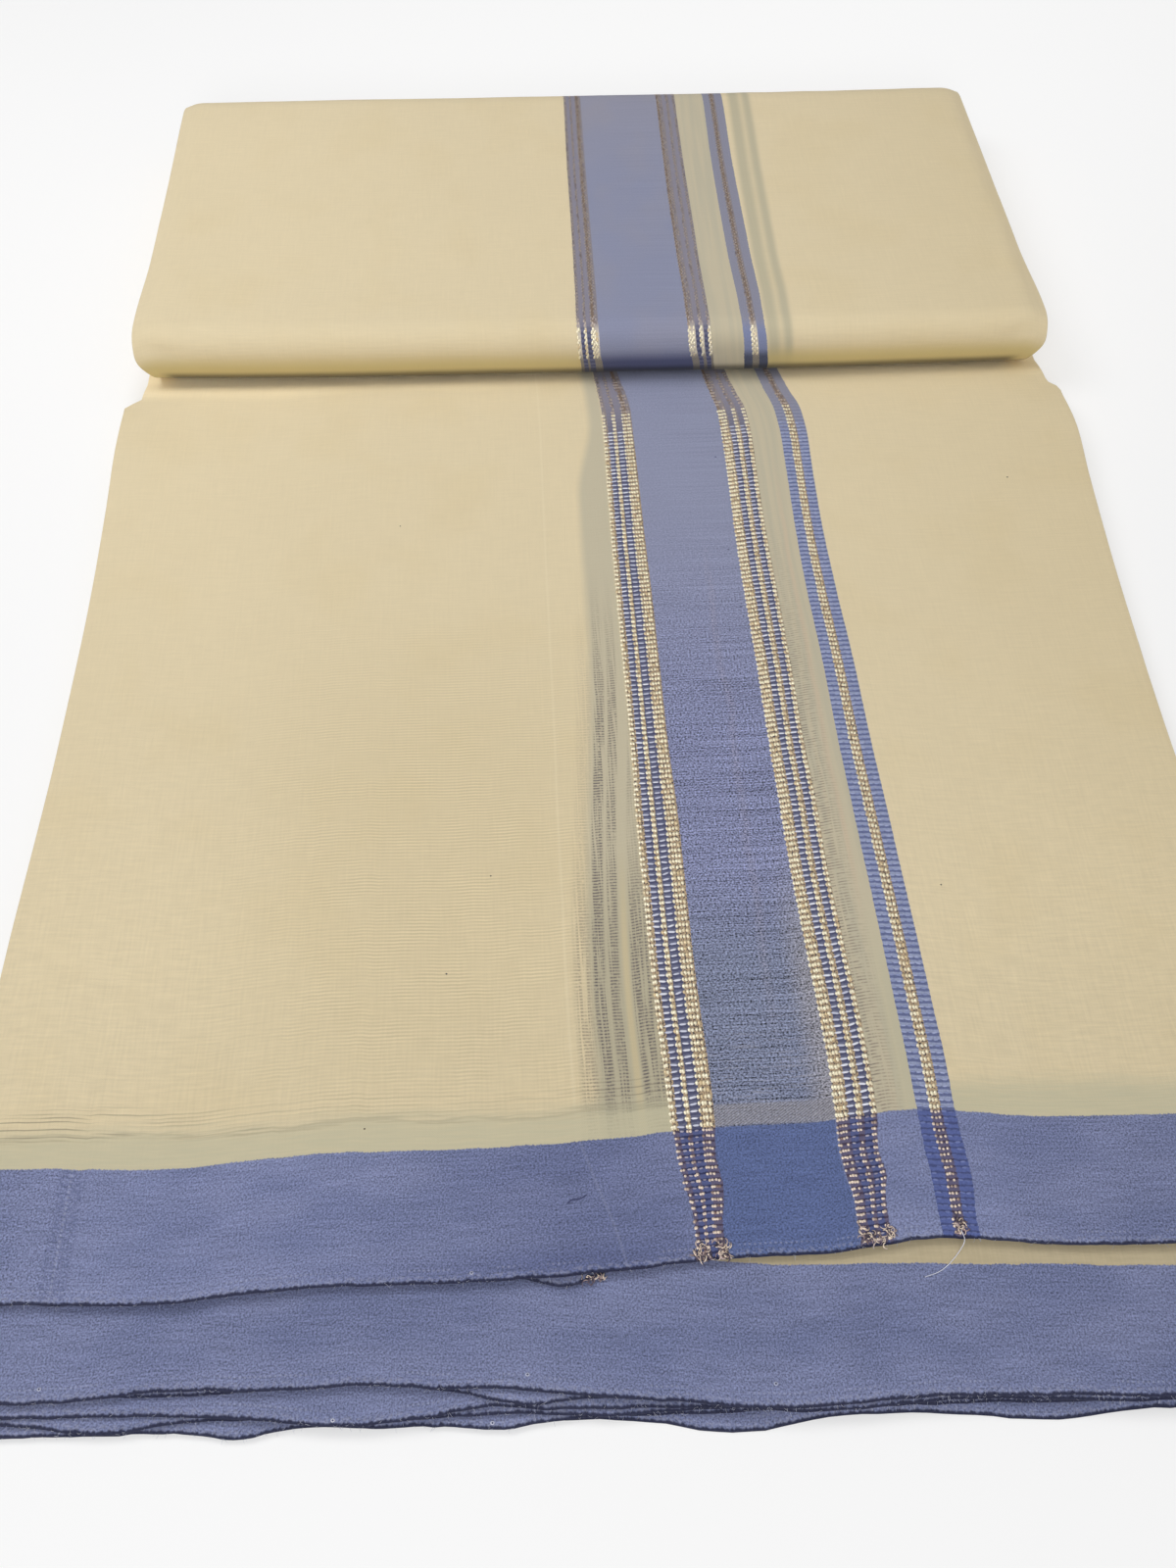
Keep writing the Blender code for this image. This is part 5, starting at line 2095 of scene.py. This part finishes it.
@dataclass(frozen=True)
class Studio:
    """Camera, floor, lights and the pale surround."""

    camera_at: tuple[float, float, float] = (-0.0352, -0.4073, 0.4630)
    pitch_down: float = 57.898
    heading: float = 3.6307
    roll: float = 0.8017
    lens: float = 28.125
    sensor: float = 36.0
    floor_half: float = 12.0
    floor_tone: Swatch = (0.58, 0.58, 0.58)
    near_glow: Swatch = (0.385, 0.385, 0.385)
    far_glows: tuple[Swatch, Swatch] = ((0.40, 0.40, 0.40), (0.49, 0.49, 0.49))
    softboxes: tuple[Softbox, ...] = (
        Softbox("overhead", (-0.80, 0.30, 1.10), (0.0, 0.05, 0.0), (0.7, 0.7), 4.6),
        Softbox("front_key", (-0.90, -1.70, 2.00), (0.0, 0.05, 0.0), (1.0, 1.0), 6.6),
        Softbox("sheen_panel", (0.05, 0.42, 1.30), (0.05, 0.43, 0.0), (0.40, 0.65), 3.0),
        Softbox("front_fill", (-0.10, -1.40, 0.75), (0.0, 0.1, 0.02), (0.6, 0.35), 6.0),
    )
    glow_axis: tuple[float, float, float] = (0.05, -0.32, 0.94)
    glow_reach: tuple[float, float] = (0.36, 0.64)
    glow_low: float = 0.14
    glow_high: float = 0.69
    seen_surround: Swatch = (0.94, 0.94, 0.94)

    def build(self) -> None:
        """Make everything that isn't the cloth."""
        scene = bpy.context.scene
        scene.view_settings.view_transform = "Standard"
        scene.view_settings.look = "None"
        scene.view_settings.exposure = 0.0
        scene.view_settings.gamma = 1.0
        self._camera()
        self._floor()
        for softbox in self.softboxes:
            softbox.build()
        self._surround()

    def _camera(self) -> None:
        """Place the camera from its heading, its pitch below level and its small roll."""
        down, turn, roll = np.radians([self.pitch_down, self.heading, self.roll])
        ahead = Vector((np.sin(turn) * np.cos(down), np.cos(turn) * np.cos(down), -np.sin(down)))
        right = Vector((np.cos(turn), -np.sin(turn), 0.0))
        up = right.cross(ahead)
        side = right * float(np.cos(roll)) + up * float(np.sin(roll))
        top = up * float(np.cos(roll)) - right * float(np.sin(roll))
        data = bpy.data.cameras.new("camera")
        data.lens, data.sensor_width = self.lens, self.sensor
        data.clip_start = 0.01
        camera = bpy.data.objects.new("camera", data)
        turned = Matrix((side, top, -ahead)).transposed().to_4x4()
        camera.matrix_world = Matrix.Translation(self.camera_at) @ turned
        bpy.context.scene.collection.objects.link(camera)
        bpy.context.scene.camera = camera

    def _floor(self) -> None:
        """A large white floor that glows a little, so that it stays even and its shadows soft."""
        half = self.floor_half
        corners = np.array([[-half, -half, 0.0], [half, -half, 0.0], [half, half, 0.0], [-half, half, 0.0]])
        mesh = bpy.data.meshes.new("floor")
        mesh.from_pydata(corners.tolist(), [], [(0, 1, 2, 3)])
        b = Surface("white_floor")
        across, away, _ = b.parts("ShaderNodeSeparateXYZ", b.wire("ShaderNodeTexCoord", output="Object"))
        far_glow = b.mix(across.ease(-0.45, 0.45), *self.far_glows)
        glow = b.mix(away.ease(-0.35, 0.75), self.near_glow, far_glow)
        mesh.materials.append(b.finish(self.floor_tone, 0.9, Specular_IOR_Level=0.0, Emission_Color=glow,
                                       Emission_Strength=1.0))
        floor = bpy.data.objects.new("floor", mesh)
        bpy.context.scene.collection.objects.link(floor)

    def _surround(self) -> None:
        """A glow overhead and before the cloth, dimmer towards the far side, and pale where it is seen."""
        world = bpy.data.worlds.new("surround")
        bpy.context.scene.world = world
        b = Bench(world, "ShaderNodeOutputWorld")
        lean = b.wire("ShaderNodeVectorMath", {"operation": "DOT_PRODUCT"}, {
            0: b.wire("ShaderNodeTexCoord", output="Generated"), 1: Vector(self.glow_axis).normalized()},
            output="Value")
        low, high = self.glow_reach
        rise = b.wire("ShaderNodeMapRange", {"interpolation_type": "SMOOTHSTEP"},
                      {0: lean, 1: low, 2: high, 3: self.glow_low, 4: self.glow_high})
        b.plug(b.output.inputs["Surface"], b.wire("ShaderNodeMixShader", None, {
            0: b.wire("ShaderNodeLightPath", output="Is Camera Ray"),
            1: b.wire("ShaderNodeBackground", None, {"Strength": rise}),
            2: b.wire("ShaderNodeBackground", None, {"Color": self.seen_surround})}))


# ---- putting it together


class Workshop:
    """Makes every piece in turn, and keeps the shells and what each of them carries."""

    def __init__(self) -> None:
        """Make the finishes and lay out the shells."""
        self.cotton = {dress: DhotiCotton(dress).build() for dress in Dress}
        self.finishes = {finish: finish.value.build() for finish in Finish}
        self.top = LeafShell(
            TOP, "top_sheet", TUCK_END, 190, 170, (0.522, 0.535), TOP_CREASES,
            stripes=StripePath(SHEET_STRIPES), unevenness=0.00045, rests_on=("second_leaf_sheet",))
        self.short: dict[str, LeafShell] = {}
        for leaf in SHORT_LEAVES:
            flat = (0.515, round((leaf.edge_left + leaf.edge_right) / 2 + CORE_NEAR, 3))
            self.short[leaf.node] = LeafShell(leaf, leaf.node + "_sheet", CORE_NEAR - SEAM, 150, 44, flat)
        self.bottom = LeafShell(BOTTOM, "bottom_sheet", BOTTOM_END, 90, 90, (0.515, 0.705), face_down=True)
        self.roll = RollShell()
        self.on_top: list[str] = ["selvedge_lint"]
        self.on_roll: list[str] = []
        self.chance = np.random.default_rng(71)

    def dress_solids(self) -> None:
        """Put the cloth on every solid."""
        self.top.build(self.cotton[Dress.TOP])
        for shell in self.short.values():
            shell.build(self.cotton[Dress.SELVEDGE])
        self.bottom.build(self.cotton[Dress.SELVEDGE])
        self.roll.build(self.cotton[Dress.ROLL])
        BundleSides().build(self.cotton[Dress.PLAIN])
        RollEnds().build(self.cotton[Dress.PLAIN])

    def set_floats(self) -> None:
        """Set the raised floats on the stripes."""
        for lanes in LANES:
            place = self.roll.place if lanes.on_roll else self.top.place
            lanes.build(place, self.finishes[lanes.finish])
            (self.on_roll if lanes.on_roll else self.on_top).append(lanes.name)

    def lay_threads(self) -> None:
        """Lay the tufts of thread ends and the loose threads."""
        ends, second_ends = ThreadEnds(self.top), ThreadEnds(self.short[SECOND.node])
        for finish, share in TUFT_SHARES:
            name = finish.name.lower() + "_thread_ends"
            paths = np.concatenate([ends.tufts(TUFTS, self.chance, share),
                                    second_ends.tufts(LOW_TUFTS, self.chance, share)])
            strands(name, paths, self.chance.uniform(*TUFT_RADII, len(paths)), self.finishes[finish])
            self.on_top.append(name)
        for thread in STRAY_THREADS:
            strands(thread.name, ends.laid(thread, self.short[THIRD.node])[None], np.array([thread.radius]),
                    self.finishes[thread.finish], sides=6)
            self.on_top.append(thread.name)

    def add_marks(self) -> None:
        """Add the specks, the knots, the pin holes and the lint."""
        for name, finish, shape, marks in SPECKS:
            u, v = self.top.cloth_at(*np.array(marks).T)
            turn = self.chance.uniform(-0.5, 0.5, len(u))
            size = self.chance.uniform(0.8, 1.2, len(u))
            scatter(name, shape, self.top.place, u, v, turn, size, self.finishes[finish])
            self.on_top.append(name)
        for leaf, spots in PIN_HOLES.items():
            u, v = np.array(spots).T
            for suffix, shape, finish in PIN_PARTS:
                scatter(leaf + suffix, shape, self.short.get(leaf, self.top).place, u, v, np.zeros(len(u)),
                        np.ones(len(u)), self.finishes[finish])
        lined = [(self.top, TOP_HAIRS), *((shell, LEAF_HAIRS) for shell in self.short.values())]
        hairs = np.concatenate([ThreadEnds(shell).lint(count, self.chance) for shell, count in lined])
        radius = np.full(len(hairs), LINT_RADIUS)
        strands("selvedge_lint", hairs, radius, self.finishes[Finish.LINT], sides=3)

    def declare(self) -> None:
        """Call every shell's declare with what it carries; those calls state nothing."""
        pins = {leaf: [leaf + suffix for suffix, _, _ in PIN_PARTS] for leaf in PIN_HOLES}
        self.top.declare(self.on_top + pins[TOP.node])
        self.roll.declare(self.on_roll)
        self.bottom.declare()
        for leaf, shell in self.short.items():
            shell.declare(pins.get(leaf, []))


def main() -> None:
    """Build the studio and the cloth, and note the sizes."""
    logging.basicConfig(level=logging.INFO, format="%(name)s: %(message)s")
    Studio().build()
    workshop = Workshop()
    workshop.dress_solids()
    workshop.set_floats()
    workshop.lay_threads()
    workshop.add_marks()
    workshop.declare()


if __name__ == "__main__":
    main()
